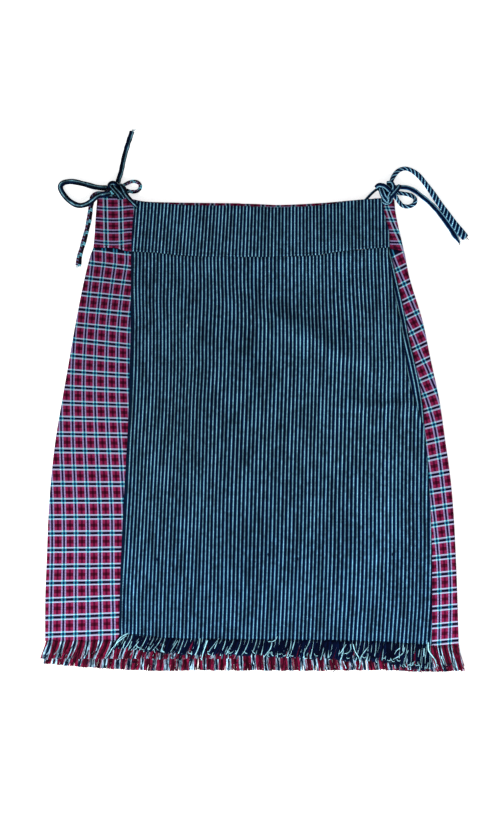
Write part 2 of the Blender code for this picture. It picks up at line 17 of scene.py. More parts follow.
import bmesh
import bpy
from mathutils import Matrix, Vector


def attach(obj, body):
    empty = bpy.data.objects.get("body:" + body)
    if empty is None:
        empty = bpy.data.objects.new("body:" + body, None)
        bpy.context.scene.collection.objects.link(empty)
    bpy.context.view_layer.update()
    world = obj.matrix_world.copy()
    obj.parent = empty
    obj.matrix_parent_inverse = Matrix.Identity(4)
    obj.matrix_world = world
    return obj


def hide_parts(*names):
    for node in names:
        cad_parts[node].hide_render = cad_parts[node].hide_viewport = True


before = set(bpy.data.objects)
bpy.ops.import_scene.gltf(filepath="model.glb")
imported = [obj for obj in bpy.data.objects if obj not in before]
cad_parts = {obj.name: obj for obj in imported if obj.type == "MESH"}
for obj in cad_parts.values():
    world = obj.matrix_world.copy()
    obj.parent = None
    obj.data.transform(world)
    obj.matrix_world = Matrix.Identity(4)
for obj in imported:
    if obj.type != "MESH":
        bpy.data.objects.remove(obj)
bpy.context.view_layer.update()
print("The packed model holds", len(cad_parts), "pieces")

# %% [markdown]
# ## The garment's own measures
# A maker measures a skirt from its waist, so every table here does too:
# "across" runs to the right from the middle, "down" runs from the waistline
# to the hem, and "height" is above the surface that the skirt lies on, all
# in millimetres. One helper turns these into Blender's metres, so no other
# line has to think about it.

# %% Measures that every piece shares
MM = 0.001
ORIGIN_ACROSS = 0.155
ORIGIN_DOWN = 265.16
WALL = 1.0
BAND = 2.0
GAP = 0.3
WRAP_BACK = WALL / 2
FLAP_FRONT = WRAP_BACK + WALL + GAP
APRON_LOW = FLAP_FRONT
APRON_HIGH = FLAP_FRONT + WALL + GAP
BACK_BAND = BAND / 2
FRONT_BAND = BACK_BAND + BAND + GAP
APRON_BAND = FRONT_BAND + BAND + GAP


def place(across, down, height):
    """A point of the garment as Blender sees it, in metres."""
    return Vector(((across - ORIGIN_ACROSS) * MM, (ORIGIN_DOWN - down) * MM, height * MM))


print("The waist's middle is at", [round(part, 4) for part in place(0, 0, 0)])

# %% [markdown]
# ## Camera, floor and light
# The photograph looks straight down at the skirt on a white ground. The
# camera is set first, because everything after it is judged through it. Its
# distance follows from the width of the view and the lens. The light is one
# large soft lamp on the hem's side, which throws the upper side of each fold
# into shade, and an even sky that keeps the ground white.

# %% The camera, straight above
VIEW_LONG_SIDE = 999.6
VIEW_ACROSS, VIEW_DOWN, VIEW_HEIGHT = -3.6, 253.8, 3.0
LENS, SENSOR = 50.0, 36.0


def link_object(name, data):
    """Puts new data into the scene as an object."""
    made = bpy.data.objects.new(name, data)
    bpy.context.collection.objects.link(made)
    return made


camera_data = bpy.data.cameras.new("camera")
camera_data.lens = LENS
camera_data.sensor_width = SENSOR
camera_data.clip_start = 0.01
camera = link_object("camera", camera_data)
camera.location = place(VIEW_ACROSS, VIEW_DOWN, VIEW_HEIGHT + VIEW_LONG_SIDE * LENS / SENSOR)
bpy.context.scene.camera = camera
print("The camera is", round(camera.location.z, 3), "m up")

# %% A plain white floor
FLOOR_SIZE = 6.0
FLOOR_LEVEL = -0.0002
GROUND_GLOW = 0.6


def set_inputs(node, values):
    """Sets plain values on a node's sockets, by name."""
    for name, value in values.items():
        node.inputs[name].default_value = value


def white_ground():
    """White paper that glows a little, like the light table under a cut-out photograph."""
    material = bpy.data.materials.new("white_ground")
    material.use_nodes = True
    set_inputs(material.node_tree.nodes["Principled BSDF"], {
        "Base Color": (0.93, 0.93, 0.93, 1.0), "Roughness": 0.9,
        "Emission Color": (1.0, 1.0, 1.0, 1.0), "Emission Strength": GROUND_GLOW,
    })
    return material


def lay_floor():
    """A square of ground just under the skirt."""
    mesh = bpy.data.meshes.new("floor")
    half = FLOOR_SIZE / 2
    sides = ((-1, -1), (1, -1), (1, 1), (-1, 1))
    mesh.from_pydata([(x * half, y * half, FLOOR_LEVEL) for x, y in sides], [], [(0, 1, 2, 3)])
    mesh.materials.append(white_ground())
    floor = link_object("floor", mesh)


lay_floor()
print("The floor is", FLOOR_SIZE, "m wide")

# %% One soft lamp and an even sky
SKY_STRENGTH = 0.5
KEY_POWER = 58.0
KEY_FROM = (-0.5, -1.9, 1.25)
KEY_SIZE = 0.8


def light_scene():
    """An even sky, and a lamp that looks at the skirt from the hem's side."""
    world = bpy.data.worlds.new("even_sky")
    world.use_nodes = True
    set_inputs(world.node_tree.nodes["Background"], {
        "Color": (1.0, 1.0, 1.0, 1.0), "Strength": SKY_STRENGTH,
    })
    bpy.context.scene.world = world
    lamp = bpy.data.lights.new("hem_side_lamp", "AREA")
    lamp.energy = KEY_POWER
    lamp.size = KEY_SIZE
    holder = link_object("hem_side_lamp", lamp)
    holder.location = KEY_FROM
    holder.rotation_euler = Vector(KEY_FROM).to_track_quat("Z", "Y").to_euler()


light_scene()
bpy.context.scene.view_settings.view_transform = "Standard"
print("Sky", SKY_STRENGTH, "and one lamp of", KEY_POWER, "W")

# %% [markdown]
# ## Curves through listed rows
# A pattern cutter draws a side seam by marking a few points and joining them
# with a smooth curve. The tables below do the same: each is a short list of
# marks, and `curve` joins them. These are the same marks that the packed
# solids were made from, so the cloth lies where its solid is.

# %% Helpers for smooth shapes


def smooth(share):
    """A soft step from 0 to 1."""
    share = min(max(share, 0.0), 1.0)
    return share * share * (3 - 2 * share)


def curve(rows):
    """Turns rows of (place, value) into a smooth function of place."""
    places = [row[0] for row in rows]
    values = [row[1] for row in rows]
    last = len(rows) - 1
    slopes = []
    for i in range(last + 1):
        low, high = max(i - 1, 0), min(i + 1, last)
        slopes.append((values[high] - values[low]) / (places[high] - places[low]))

    def read(at):
        if at <= places[0]:
            return values[0]
        if at >= places[last]:
            return values[last]
        i = bisect.bisect_right(places, at) - 1
        step = places[i + 1] - places[i]
        t = (at - places[i]) / step
        start = values[i] * (1 + 2 * t) * (1 - t) ** 2
        end = values[i + 1] * t * t * (3 - 2 * t)
        bend = slopes[i] * t * (1 - t) ** 2 - slopes[i + 1] * t * t * (1 - t)
        return start + end + bend * step

    return read


def curves(rows):
    """A curve for each column of a table whose first column is the place."""
    places, *columns = zip(*rows)
    return [curve(list(zip(places, column))) for column in columns]


def mix(a, b, share):
    """A value between a and b."""
    return a + (b - a) * share


# %% Outlines of the two layers
WRAP_LEFT, WRAP_RIGHT = curves((
    (-9, -187.0, 169.5), (12, -188.8, 171.6), (51, -191.8, 180.2), (60, -195.2, 182.4),
    (90, -202.8, 188.8), (138, -212.4, 203.4), (186, -220.8, 213.6), (234, -229.2, 223.8),
    (282, -237.2, 230.8), (330, -242.6, 237.4), (378, -246.0, 241.4), (426, -247.8, 243.8),
    (474, -249.6, 245.6), (528, -249.8, 247.2),
))
APRON_LEFT, APRON_RIGHT = curves((
    (-9, -140.2, 157.2), (5, -142.2, 156.4), (30, -144.9, 162.2), (50, -145.7, 163.6),
    (74, -146.2, 168.6), (122, -146.6, 179.8), (160, -147.0, 187.2), (193, -147.8, 194.9),
    (227, -148.6, 201.4), (277, -150.5, 206.6), (317, -152.8, 209.9), (370, -155.8, 212.9),
    (422, -158.2, 214.3), (475, -159.9, 214.8), (528, -160.5, 214.2),
))
WRAP_TOP = curve((
    (-190, -8.5), (-160, -9.6), (-148, -7.0), (-130, -3.4), (-97, -2.2),
    (-60, -1.7), (0, -0.9), (32, 0.4), (86, -2.2), (122, -5.4), (157, -7.4),
    (172, -5.6),
))
WRAP_SEAM = curve((
    (-194, 51.4), (-167, 51.8), (-149, 55.6), (-115, 57.2), (-60, 60.6),
    (20, 61.4), (77, 59.4), (134, 52.6), (164, 52.7), (184, 56.0),
))
APRON_TOP = curve((
    (-140, -5.2), (-97, -1.3), (-63, 0.0), (-15, 0.7), (32, 2.3), (86, -0.7),
    (122, -6.3), (158, -8.8),
))
APRON_SEAM = curve((
    (-146, 56.0), (-115, 57.8), (-80, 61.2), (-3, 62.4), (40, 61.9),
    (77, 60.4), (99, 56.8), (134, 53.2), (164, 50.9),
))
HEM_BACK = curve((
    (-250, 523.0), (-180, 527.5), (-100, 531.5), (0, 534.0), (100, 534.0),
    (180, 531.0), (248, 528.4),
))
HEM_LEFT = curve(((-250, 523.0), (-150, 523.6), (-15, 524.0)))
HEM_RIGHT = curve(((160, 531.6), (248, 528.4)))
HEM_APRON = curve((
    (-161, 516.4), (-140, 516.0), (-95, 520.6), (0, 522.2), (60, 522.6),
    (150, 524.6), (215, 528.2),
))
WRAP_INNER_LEFT = -15.0
WRAP_INNER_RIGHT = 145.0
WRAP_INNER_SLANT = 0.038
print("The apron is", round(APRON_RIGHT(528) - APRON_LEFT(528)), "mm wide at its hem")

# %% [markdown]
# ## Folds
# Cotton that is laid down by hand never lies quite flat. Each fold here is a
# soft ridge or trough from one place to another, with its own width and
# rise, set where the photograph shows light and shade. The first table is
# in the solids too. The second holds smaller ones that only the
# cloth has: the sharp edge of the tapering fold on the right, the hollow
# beside the long fold, and the ripples above the fringe.

# %% Folds of the apron and of the side flaps
FADED = 3 ** 2
Fold = namedtuple("Fold", "across_1 down_1 across_2 down_2 width rise start", defaults=(1.0,))
APRON_FOLDS = [Fold(*row) for row in (
    (-24, 112, 104, 172, 15, 5.2, 0.4), (70, 168, 150, 196, 13, 2.2),
    (-8, 190, -72, 300, 16, 1.7), (120, 238, 196, 241, 10, 2.8),
    (-108, 130, -104, 430, 19, 2.1), (-46, 170, -38, 400, 17, 1.8),
    (92, 214, 2, 330, 15, 1.8), (78, 336, -20, 470, 15, 1.6),
    (146, 352, 140, 442, 26, 3.0), (-96, 90, -60, 200, 14, 1.8),
    (163, 66, 176, 140, 6, 1.7), (176, 140, 201, 256, 6, 1.7),
    (-158, 500, -132, 524, 9, 2.4),
)]
APRON_FINE_FOLDS = [Fold(*row) for row in (
    (58, 128, 100, 142, 9, -1.8), (56, 160, 92, 176, 9, 1.2), (130, 231, 156, 233, 7, -1.3),
    (-16, 158, -2, 172, 13, -1.4), (-14, 384, -22, 410, 16, -1.6), (98, 350, 96, 404, 8, -1.6),
    (150, 330, 148, 424, 9, 1.4), (128, 424, 156, 418, 8, 1.2), (-28, 262, 20, 218, 7, -1.0),
    (-16, 300, 40, 248, 7, -1.0), (-52, 296, 8, 246, 6, 0.8), (-70, 352, -20, 300, 7, 0.8),
    (163, 64, 176, 138, 2.4, 0.7), (176, 138, 200, 250, 2.4, 0.7),
    (128, 243, 190, 238, 3.6, 1.0), (-134, 120, -131, 290, 6, 0.6),
    (-86, 236, -80, 410, 7, 0.6), (-70, 96, -62, 168, 6, 0.8),
    (34, 250, 12, 420, 8, 0.6), (84, 420, 70, 500, 8, 0.6),
    (170, 330, 176, 430, 8, 0.7), (112, 88, 128, 160, 6, 0.7),
    (-122, 492, -116, 522, 6, 1.0), (-84, 500, -80, 524, 5, 0.7),
    (-36, 496, -40, 526, 7, 0.9), (16, 504, 20, 526, 5, 0.7),
    (58, 494, 52, 528, 8, 1.0), (100, 502, 104, 528, 5, 0.8),
    (140, 496, 136, 530, 7, 0.9), (182, 500, 188, 532, 6, 1.0),
    (-150, 300, -146, 400, 4, 0.4), (-10, 70, 2, 108, 5, 0.6),
    (44, 66, 50, 100, 5, 0.6), (-112, 66, -104, 116, 5, 0.5),
)]
FLAP_FOLDS = [Fold(*row) for row in (
    (-178, 80, -190, 260, 9, 1.2), (-192, 330, -200, 520, 12, 1.4),
)]
FLAP_FINE_FOLDS = [Fold(*row) for row in (
    (-212, 150, -226, 300, 6, 0.6), (-226, 340, -232, 500, 7, 0.6),
    (-168, 470, -172, 524, 6, 0.6), (-216, 480, -222, 524, 5, 0.7),
    (-196, 70, -204, 130, 4, 0.5), (-164, 250, -166, 360, 5, 0.4),
)]
RIGHT_FLAP_FINE_FOLDS = [Fold(*row) for row in (
    (176, 66, 196, 150, 4, 0.5), (212, 230, 224, 330, 4, 0.5),
    (230, 400, 234, 520, 6, 0.7), (222, 470, 224, 528, 4, 0.5),
)]


def fold_lift(folds, across, down):
    """How much a set of folds lifts the cloth at one place."""
    total = 0.0
    for fold in folds:
        run_across = fold.across_2 - fold.across_1
        run_down = fold.down_2 - fold.down_1
        t = (across - fold.across_1) * run_across + (down - fold.down_1) * run_down
        t = min(max(t / (run_across ** 2 + run_down ** 2), 0.0), 1.0)
        off_across = across - fold.across_1 - t * run_across
        off_down = down - fold.down_1 - t * run_down
        away = (off_across ** 2 + off_down ** 2) / fold.width ** 2
        if away < FADED:
            total += fold.rise * mix(fold.start, 1.0, t) * math.exp(-away)
    return total


print(len(APRON_FOLDS) + len(APRON_FINE_FOLDS), "folds on the apron")

# %% [markdown]
# ## Painted light and shade
# Light and shade on the cloth are painted into its colour here: lighter
# where the cloth catches the light, darker in hollows such as the one beside
# the long fold. Each patch here is a soft spot with a size, a lean and a
# strength. Above zero it is painted paler, below zero painted darker.

# %% Painted light and shade patches of the apron
Patch = namedtuple("Patch", "across down half_across half_down lean strength")
APRON_LIGHT_AND_SHADE = [Patch(*row) for row in (
    (-73, 246, 18, 80, 0.05, -0.20), (-10, 168, 14, 19, 0.5, -0.30),
    (-67, 114, 14, 17, 0.3, -0.16), (-10, 240, 12, 26, 1.1, -0.20),
    (20, 278, 12, 34, 1.1, -0.20), (-22, 312, 11, 22, 0.9, -0.16),
    (-16, 396, 26, 28, 0.5, -0.24), (98, 378, 9, 38, 0.1, -0.28),
    (78, 136, 26, 8, -2.0, -0.22), (143, 240, 12, 8, 0.0, -0.22),
    (160, 358, 9, 62, 0.05, 0.50), (152, 422, 18, 13, 0.3, 0.30),
    (98, 318, 10, 15, 0.4, 0.20), (96, 82, 44, 24, 0.0, 0.20),
    (76, 166, 18, 11, -1.4, 0.26), (150, 262, 12, 10, 0.3, 0.24),
    (146, 190, 18, 26, 0.0, 0.16), (-147, 480, 10, 84, 0.0, 0.42),
    (-112, 430, 18, 60, 0.6, 0.12), (196, 470, 12, 50, 0.0, 0.10),
)]
# Painted light: the apron is painted paler to the right and towards the hem.
PALER_RIGHT, PALER_DOWN = 0.10, 0.09
HALF_ACROSS, MIDDLE_DOWN, HALF_DOWN = 180, 280, 230


def painted_light_and_shade(across, down):
    """The painted light and shade of the apron at one place: above 1 paler, below 1 darker."""
    total = 1 + PALER_RIGHT * across / HALF_ACROSS
    total += PALER_DOWN * (down - MIDDLE_DOWN) / HALF_DOWN
    for patch in APRON_LIGHT_AND_SHADE:
        off_down = (down - patch.down) / patch.half_down
        off_across = across - patch.across + patch.lean * (down - patch.down)
        away = off_down ** 2 + (off_across / patch.half_across) ** 2
        if away < FADED:
            total += patch.strength * math.exp(-away)
    return total


# Painted light on the wrap: paler on the right and towards the hem, darker towards the waist.
LEFT_PAINTED_LIGHT = curve(((-10, 0.72), (60, 0.71), (240, 0.88), (400, 1.04), (524, 1.10)))
RIGHT_PAINTED_LIGHT = curve(((-10, 0.80), (60, 0.86), (240, 0.96), (400, 1.10), (524, 1.30)))


def wrap_painted_light(across, down):
    """Painted light on the wrap: paler on the right and near the hem."""
    return LEFT_PAINTED_LIGHT(down) if across < 0 else RIGHT_PAINTED_LIGHT(down)


print("The hollow by the long fold:", round(painted_light_and_shade(-10, 168), 2))

# %% [markdown]
# ## What lies on what
# The back of the wrap lies on the table, its flaps lie on the back, and the
# apron lies on the flaps, so between the flaps it sinks by one layer. Near
# the waist every layer climbs to its waistband, which is twice as thick.

# %% Heights of each layer
SIDE_PUFF = 1.0
PUFF_REACH = 9.0
BAND_RISE = 24.0
SEAM_DIP = 0.45
SEAM_DIP_WIDTH = 1.6
FLAP_FOLDS_END = -152.0
FLAP_FOLDS_FADE = 14.0
EDGE_RAMP = 18.0
RAMP_PAST_EDGE = 22.0
DEEPEST_TROUGH = 0.15


def seam_dip(below_seam):
    """The cloth dips a little where a seam draws it in."""
    return SEAM_DIP * math.exp(-((below_seam / SEAM_DIP_WIDTH) ** 2))


def flap_height(across, down):
    """The middle of a side flap, which springs open at its fold."""
    to_fold = min(across - WRAP_LEFT(down), WRAP_RIGHT(down) - across)
    puff = SIDE_PUFF * smooth(1 - to_fold / PUFF_REACH)
    lift = fold_lift(FLAP_FOLDS, across, down)
    lift += fold_lift(FLAP_FINE_FOLDS, across, down)
    lift *= smooth((FLAP_FOLDS_END - across) / FLAP_FOLDS_FADE)
    if across > 0:
        lift += fold_lift(RIGHT_FLAP_FINE_FOLDS, across, down) * smooth(to_fold / 5)
    below_seam = down - WRAP_SEAM(across)
    plain = FLAP_FRONT + puff + lift
    risen = plain + (FRONT_BAND - plain) * smooth(1 - below_seam / BAND_RISE)
    return risen - seam_dip(below_seam)


def right_flap_inner(down):
    """The free edge of the right flap, under the apron."""
    return WRAP_INNER_RIGHT + WRAP_INNER_SLANT * down


def apron_height(across, down):
    """The middle of the apron: it lies on the flaps, and on the back between."""
    on_left = smooth((WRAP_INNER_LEFT - across + RAMP_PAST_EDGE) / EDGE_RAMP)
    on_right = smooth((across - right_flap_inner(down) + RAMP_PAST_EDGE) / EDGE_RAMP)
    plain = mix(APRON_LOW, APRON_HIGH, max(on_left, on_right))
    lift = fold_lift(APRON_FOLDS + APRON_FINE_FOLDS, across, down)
    plain += lift if lift > 0 else DEEPEST_TROUGH * math.tanh(lift / DEEPEST_TROUGH)
    below_seam = down - APRON_SEAM(across)
    risen = plain + (APRON_BAND - plain) * smooth(1 - below_seam / (BAND_RISE + 2))
    return risen - seam_dip(below_seam)


print("The apron's long fold stands", round(apron_height(40, 142), 1), "mm up")

# %% [markdown]
# ## How the threads run
# A stripe is a row of warp threads, so it bends wherever the cloth is
# pulled. If the stripes ran in dead straight lines the cloth would look
# printed. So each piece gets a map, stored as UV coordinates, that counts
# stripes or bars instead of millimetres: 12.0 is the middle of the twelfth
# pale stripe, wherever the cloth has taken it. The maps come from a few
# marks read off the way that the cloth lies.

# %% The apron's stripes, counted from its left edge
STRIPE_COUNT = curve((
    (-160, -1.88), (-141.6, 2.32), (-105.6, 10.67), (-69.6, 19.28), (-39.6, 26.09),
    (-9.6, 32.51), (20.4, 38.92), (56.4, 46.75), (92.4, 54.79), (128.4, 62.40),
    (158.4, 68.92), (178.8, 73.41), (220, 82.4),
))
DRIFT_ACROSS = (-141.6, -105.6, -69.6, -39.6, -9.6, 20.4, 56.4, 92.4, 128.4, 158.4, 178.8)
DRIFT_COLUMNS = curves((
    (66, -1.25, -1.14, -1.27, -1.05, -0.83, -0.70, -0.49, -0.09, 0.12, 0.55, 0.95),
    (90, -1.06, -1.07, -1.32, -1.18, -0.80, -0.72, -0.54, -0.23, 0.00, 0.25, 0.60),
    (114, -1.15, -0.89, -1.19, -1.33, -1.04, -0.70, -0.58, -0.32, -0.23, 0.05, 0.41),
    (138, -1.32, -0.97, -1.00, -1.15, -1.12, -0.95, -0.71, -0.56, -0.53, -0.13, 0.21),
    (162, -1.22, -1.00, -0.88, -0.94, -0.92, -0.91, -0.81, -0.63, -0.67, -0.26, 0.02),
    (192, -1.11, -0.94, -0.89, -0.84, -0.75, -0.75, -0.73, -0.61, -0.61, -0.44, -0.27),
    (234, -0.74, -0.69, -0.37, -0.45, -0.48, -0.45, -0.45, -0.31, -0.36, -0.27, -0.23),
    (294, 0.00, 0.00, 0.00, 0.00, 0.00, 0.00, 0.00, 0.00, 0.00, 0.00, 0.00),
    (354, 0.61, 0.75, 0.32, 0.49, 0.39, 0.32, 0.30, 0.33, 0.28, 0.26, 0.19),
    (414, 1.38, 1.36, 0.82, 0.76, 0.72, 0.65, 0.62, 0.55, 0.39, 0.33, 0.18),
    (474, 2.11, 1.93, 1.33, 1.03, 1.02, 1.11, 1.10, 1.00, 0.78, 0.67, 0.47),
    (504, 2.23, 2.11, 1.54, 1.26, 1.27, 1.41, 1.39, 1.30, 1.19, 1.06, 0.89),
    (530, 2.30, 2.30, 1.75, 1.50, 1.50, 1.65, 1.65, 1.55, 1.50, 1.40, 1.30),
))


def apron_drift(down):
    """A smooth function of across: how many stripes the cloth has moved there."""
    return curve([(across, column(down)) for across, column in zip(DRIFT_ACROSS, DRIFT_COLUMNS)])


GORE_CREASE = curve((
    (58, 162.6), (102, 169.2), (138, 176.4), (174, 181.6), (210, 187.2), (234, 193.6),
    (262, 203.5),
))
GORE_LAST = 262.0
GORE_EDGE_COUNT = 80.35
NO_GORE = -5.0
STRIPE_PITCH = 4.6


def gore_map(across, down):
    """Stripes that follow the slanted edge, and how far past the crease a place is."""
    count = GORE_EDGE_COUNT - (APRON_RIGHT(down) - across) / STRIPE_PITCH
    past = across - GORE_CREASE(down) if down < GORE_LAST else NO_GORE
    return count, past


print("Stripes at the hem:", round(STRIPE_COUNT(214) - STRIPE_COUNT(-160)))

# %% The check's bars on both flaps, on the back and on the waistband
LEFT_BAR, LEFT_BAR_PITCH = curves((
    (68, -192.5, 13.6), (107, -196.8, 13.0), (145, -200.4, 12.9), (184, -202.6, 13.3),
    (222, -203.3, 13.6), (260, -202.7, 13.9), (299, -201.4, 14.2), (337, -199.6, 14.3),
    (376, -198.2, 14.4), (414, -197.9, 14.4), (452, -198.1, 14.6), (491, -197.8, 14.9),
    (530, -197.9, 15.1),
))
LEFT_CROSSBARS = curve([(down, count) for count, down in enumerate((
    54.8, 72.2, 90.7, 109.3, 128.4, 147.5, 166.4, 184.8, 202.9, 221.6, 239.3, 257.6, 275.9,
    295.4, 315.6, 334.9, 355.0, 374.3, 393.6, 413.4, 433.0, 452.5, 471.7, 492.4, 512.8, 533.2,
))])
LEFT_TILT = curve((
    (68, 0.12), (126, 0.095), (163, 0.11), (181, 0.09), (200, 0.07), (220, 0.055), (238, 0.04),
    (276, 0.02), (295, 0.015), (374, -0.004), (414, -0.012), (454, -0.02), (474, -0.037),
    (530, -0.042),
))
LEFT_TILT_FROM = -174.0
RIGHT_BAR = curve((
    (50, 132.0), (62, 136.3), (95, 150.0), (134, 166.1), (156, 176.4), (180, 186.0),
    (198, 194.2), (210, 198.8), (229, 206.8), (246, 212.4), (263, 217.1), (280, 220.4),
    (318, 225.6), (356, 229.9), (395, 233.9), (433, 236.3), (472, 237.1), (530, 236.2),
))
RIGHT_BAR_PITCH = curve((
    (60, 15.8), (180, 15.8), (222, 15.6), (246, 15.2), (280, 14.9), (318, 14.8), (356, 14.4),
    (395, 14.0), (433, 13.4), (472, 13.3), (530, 12.8),
))
RIGHT_CROSSBARS = curve([(down, count) for count, down in enumerate((
    73.4, 90.4, 107.5, 125.2, 142.1, 159.6, 176.8, 193.6, 211.0, 228.1, 245.4, 263.4, 282.0,
    301.7, 322.0, 341.9, 361.7, 381.5, 401.3, 421.7, 442.1, 462.2, 482.3, 503.4, 523.4, 543.6,
))])
RIGHT_TILT = curve((
    (70, -0.41), (190, -0.40), (210, -0.36), (232, -0.31), (263, -0.25), (301, -0.22),
    (340, -0.16), (381, -0.16), (421, -0.12), (462, -0.10), (530, -0.11),
))
BACK_BAR_PITCH = 14.6
BAND_BAR_PITCH, BAND_CROSSBAR_PITCH = 13.6, 18.2
PANEL_BAR_PITCH, PANEL_CROSSBAR_PITCH = 14.5, 19.7


def left_check(across, down):
    """Bar counts on the left flap: along the hem, then down the garment."""
    bars = (across - LEFT_BAR(down)) / LEFT_BAR_PITCH(down)
    return bars, LEFT_CROSSBARS(down - LEFT_TILT(down) * (across - LEFT_TILT_FROM))


def right_check(across, down):
    """Bar counts on the right flap, whose cloth is turned towards its slant."""
    off_bar = across - RIGHT_BAR(down)
    return off_bar / RIGHT_BAR_PITCH(down), RIGHT_CROSSBARS(down - RIGHT_TILT(down) * off_bar)


def back_check(across, down):
    """Bar counts on the back, whose crossbars meet those of both flaps."""
    left, right = WRAP_LEFT(down), WRAP_RIGHT(down)
    from_left = left_check(left, down)[1]
    from_right = right_check(right, down)[1]
    share = (across - left) / (right - left)
    return -across / BACK_BAR_PITCH, mix(from_left, from_right, share)


BAND_BOW = curve((
    (-192, 0.8), (-176, -0.6), (-162, -0.8), (-146, 0.6), (-60, 0.0), (150, 0.0), (176, -0.6),
))
BAND_SLANT = curve(((-150, 0.02), (120, 0.0), (150, 0.30), (175, 0.44)))


def band_check(across, down):
    """Bar counts on the wrap's waistband, cut with the cloth turned a quarter."""
    down_bars = (down + BAND_BOW(across) - 4.1) / BAND_BAR_PITCH
    across_bars = across + 176.4 - BAND_SLANT(across) * (down - 26)
    return down_bars, across_bars / BAND_CROSSBAR_PITCH


print("Crossbars down the left flap:", round(LEFT_CROSSBARS(524)))

# %% [markdown]
# ## Shader recipes
# A procedural material is a small network of nodes. Wiring one by hand in
# code takes two lines a node, so this little class does both at once: each
# call adds a node, plugs its inputs and gives back its output. A plain
# number is set on the socket itself, and a socket is linked.

# %% A helper that adds nodes and wires them


class Recipe:
    """Adds nodes to one tree and wires them as it goes."""

    def __init__(self, tree):
        self.tree = tree

    def node(self, kind, **settings):
        """Adds one node and sets its options."""
        made = self.tree.nodes.new(kind)
        for name, value in settings.items():
            setattr(made, name, value)
        return made

    def feed(self, socket, value):
        """Links a socket, or sets a plain value on it."""
        if isinstance(value, bpy.types.NodeSocket):
            self.tree.links.new(value, socket)
        elif isinstance(value, tuple) and len(value) == 3 and socket.type == "RGBA":
            socket.default_value = (*value, 1.0)
        else:
            socket.default_value = value

    def math(self, operation, a, b=None, c=None):
        """One sum on numbers."""
        made = self.node("ShaderNodeMath", operation=operation)
        for socket, value in zip(made.inputs, (a, b, c)):
            if value is not None:
                self.feed(socket, value)
        return made.outputs[0]

    def step(self, value, low, high, start=0.0, end=1.0):
        """A soft step: start below low, end above high."""
        made = self.node("ShaderNodeMapRange", interpolation_type="SMOOTHSTEP")
        names = ("Value", "From Min", "From Max", "To Min", "To Max")
        for name, number in zip(names, (value, low, high, start, end)):
            self.feed(made.inputs[name], number)
        return made.outputs["Result"]

    def blend(self, share, a, b, kind="MIX"):
        """Mixes two colours by a share."""
        made = self.node("ShaderNodeMix", data_type="RGBA", blend_type=kind)
        for number, value in ((0, share), (6, a), (7, b)):
            self.feed(made.inputs[number], value)
        return made.outputs[2]

    def tint(self, colour, by):
        """Multiplies a colour by another one or by a number."""
        return self.blend(1.0, colour, by, "MULTIPLY")

    def product(self, a, b):
        """Multiplies two numbers."""
        return self.math("MULTIPLY", a, b)

    def ramp(self, value, stops):
        """A row of colours read by a value from 0 to 1."""
        made = self.node("ShaderNodeValToRGB")
        stripes = made.color_ramp.elements
        while len(stripes) < len(stops):
            stripes.new(0.5)
        for stripe, (where, colour) in zip(stripes, stops):
            stripe.position = where
            stripe.color = (*colour, 1.0)
        self.feed(made.inputs["Fac"], value)
        return made.outputs["Color"]

    def noise(self, across, along, scale, detail=2.0):
        """Uneven patches on a map given by two values."""
        vector = self.node("ShaderNodeCombineXYZ")
        self.feed(vector.inputs["X"], across)
        self.feed(vector.inputs["Y"], along)
        made = self.node("ShaderNodeTexNoise")
        self.feed(made.inputs["Vector"], vector.outputs["Vector"])
        set_inputs(made, {"Scale": scale, "Detail": detail})
        return made.outputs["Fac"]

    def group(self, tree, **values):
        """Places a shared group and feeds its inputs by name."""
        made = self.node("ShaderNodeGroup", node_tree=tree)
        for name, value in values.items():
            self.feed(made.inputs[name.replace("_", " ")], value)
        return made.outputs

    def uv(self, layer):
        """The two values of one UV map."""
        source = self.node("ShaderNodeUVMap", uv_map=layer)
        parts = self.node("ShaderNodeSeparateXYZ")
        self.feed(parts.inputs[0], source.outputs["UV"])
        return parts.outputs["X"], parts.outputs["Y"]


def new_group(name, inputs, outputs):
    """An empty node group with named sockets: (name, default) in, (name, kind) out."""
    tree = bpy.data.node_groups.new(name, "ShaderNodeTree")
    for socket_name, default in inputs:
        made = tree.interface.new_socket(
            socket_name, in_out="INPUT", socket_type="NodeSocketFloat",
        )
        made.default_value = default
    for socket_name, kind in outputs:
        tree.interface.new_socket(socket_name, in_out="OUTPUT", socket_type=kind)
    recipe = Recipe(tree)
    source = recipe.node("NodeGroupInput").outputs
    sink = recipe.node("NodeGroupOutput").inputs
    return tree, recipe, source, sink


print("Recipes ready")

# %% [markdown]
# ## The weave
# Plain weave is the simplest cloth there is: each thread goes over one and
# under the next. Seen close, it is a checkerboard of small bumps. Two sine
# waves multiplied together give exactly that, one wave for the threads that
# run down and one for those that run across. The group puts out a height,
# for the bumps, and a shade, because light catches the crown of a thread and
# misses the gaps.

# %% The plain weave group
THREAD_PITCH = 0.95
PICK_PITCH = 1.8
THREAD_WOBBLE, PICK_WOBBLE = 2.0, 1.4


def make_weave_group():
    """Over and under: a height and a shade from two thread counts."""
    tree, recipe, source, sink = new_group(
        "Plain weave", [("Across", 0.0), ("Along", 0.0)],
        [("Height", "NodeSocketFloat"), ("Shade", "NodeSocketFloat")],
    )
    wobble = recipe.noise(source["Across"], source["Along"], 0.35)
    across = recipe.product(source["Across"], math.pi / THREAD_PITCH)
    across = recipe.math("MULTIPLY_ADD", wobble, THREAD_WOBBLE, across)
    along = recipe.product(source["Along"], math.pi / PICK_PITCH)
    along = recipe.math("MULTIPLY_ADD", wobble, PICK_WOBBLE, along)
    crossing = recipe.product(recipe.math("SINE", across), recipe.math("SINE", along))
    height = recipe.math("ABSOLUTE", crossing)
    recipe.feed(sink["Height"], height)
    recipe.feed(sink["Shade"], recipe.step(height, 0.0, 0.75, 0.42, 1.24))
    return tree


weave_group = make_weave_group()
print("Weave group:", len(weave_group.nodes), "nodes")

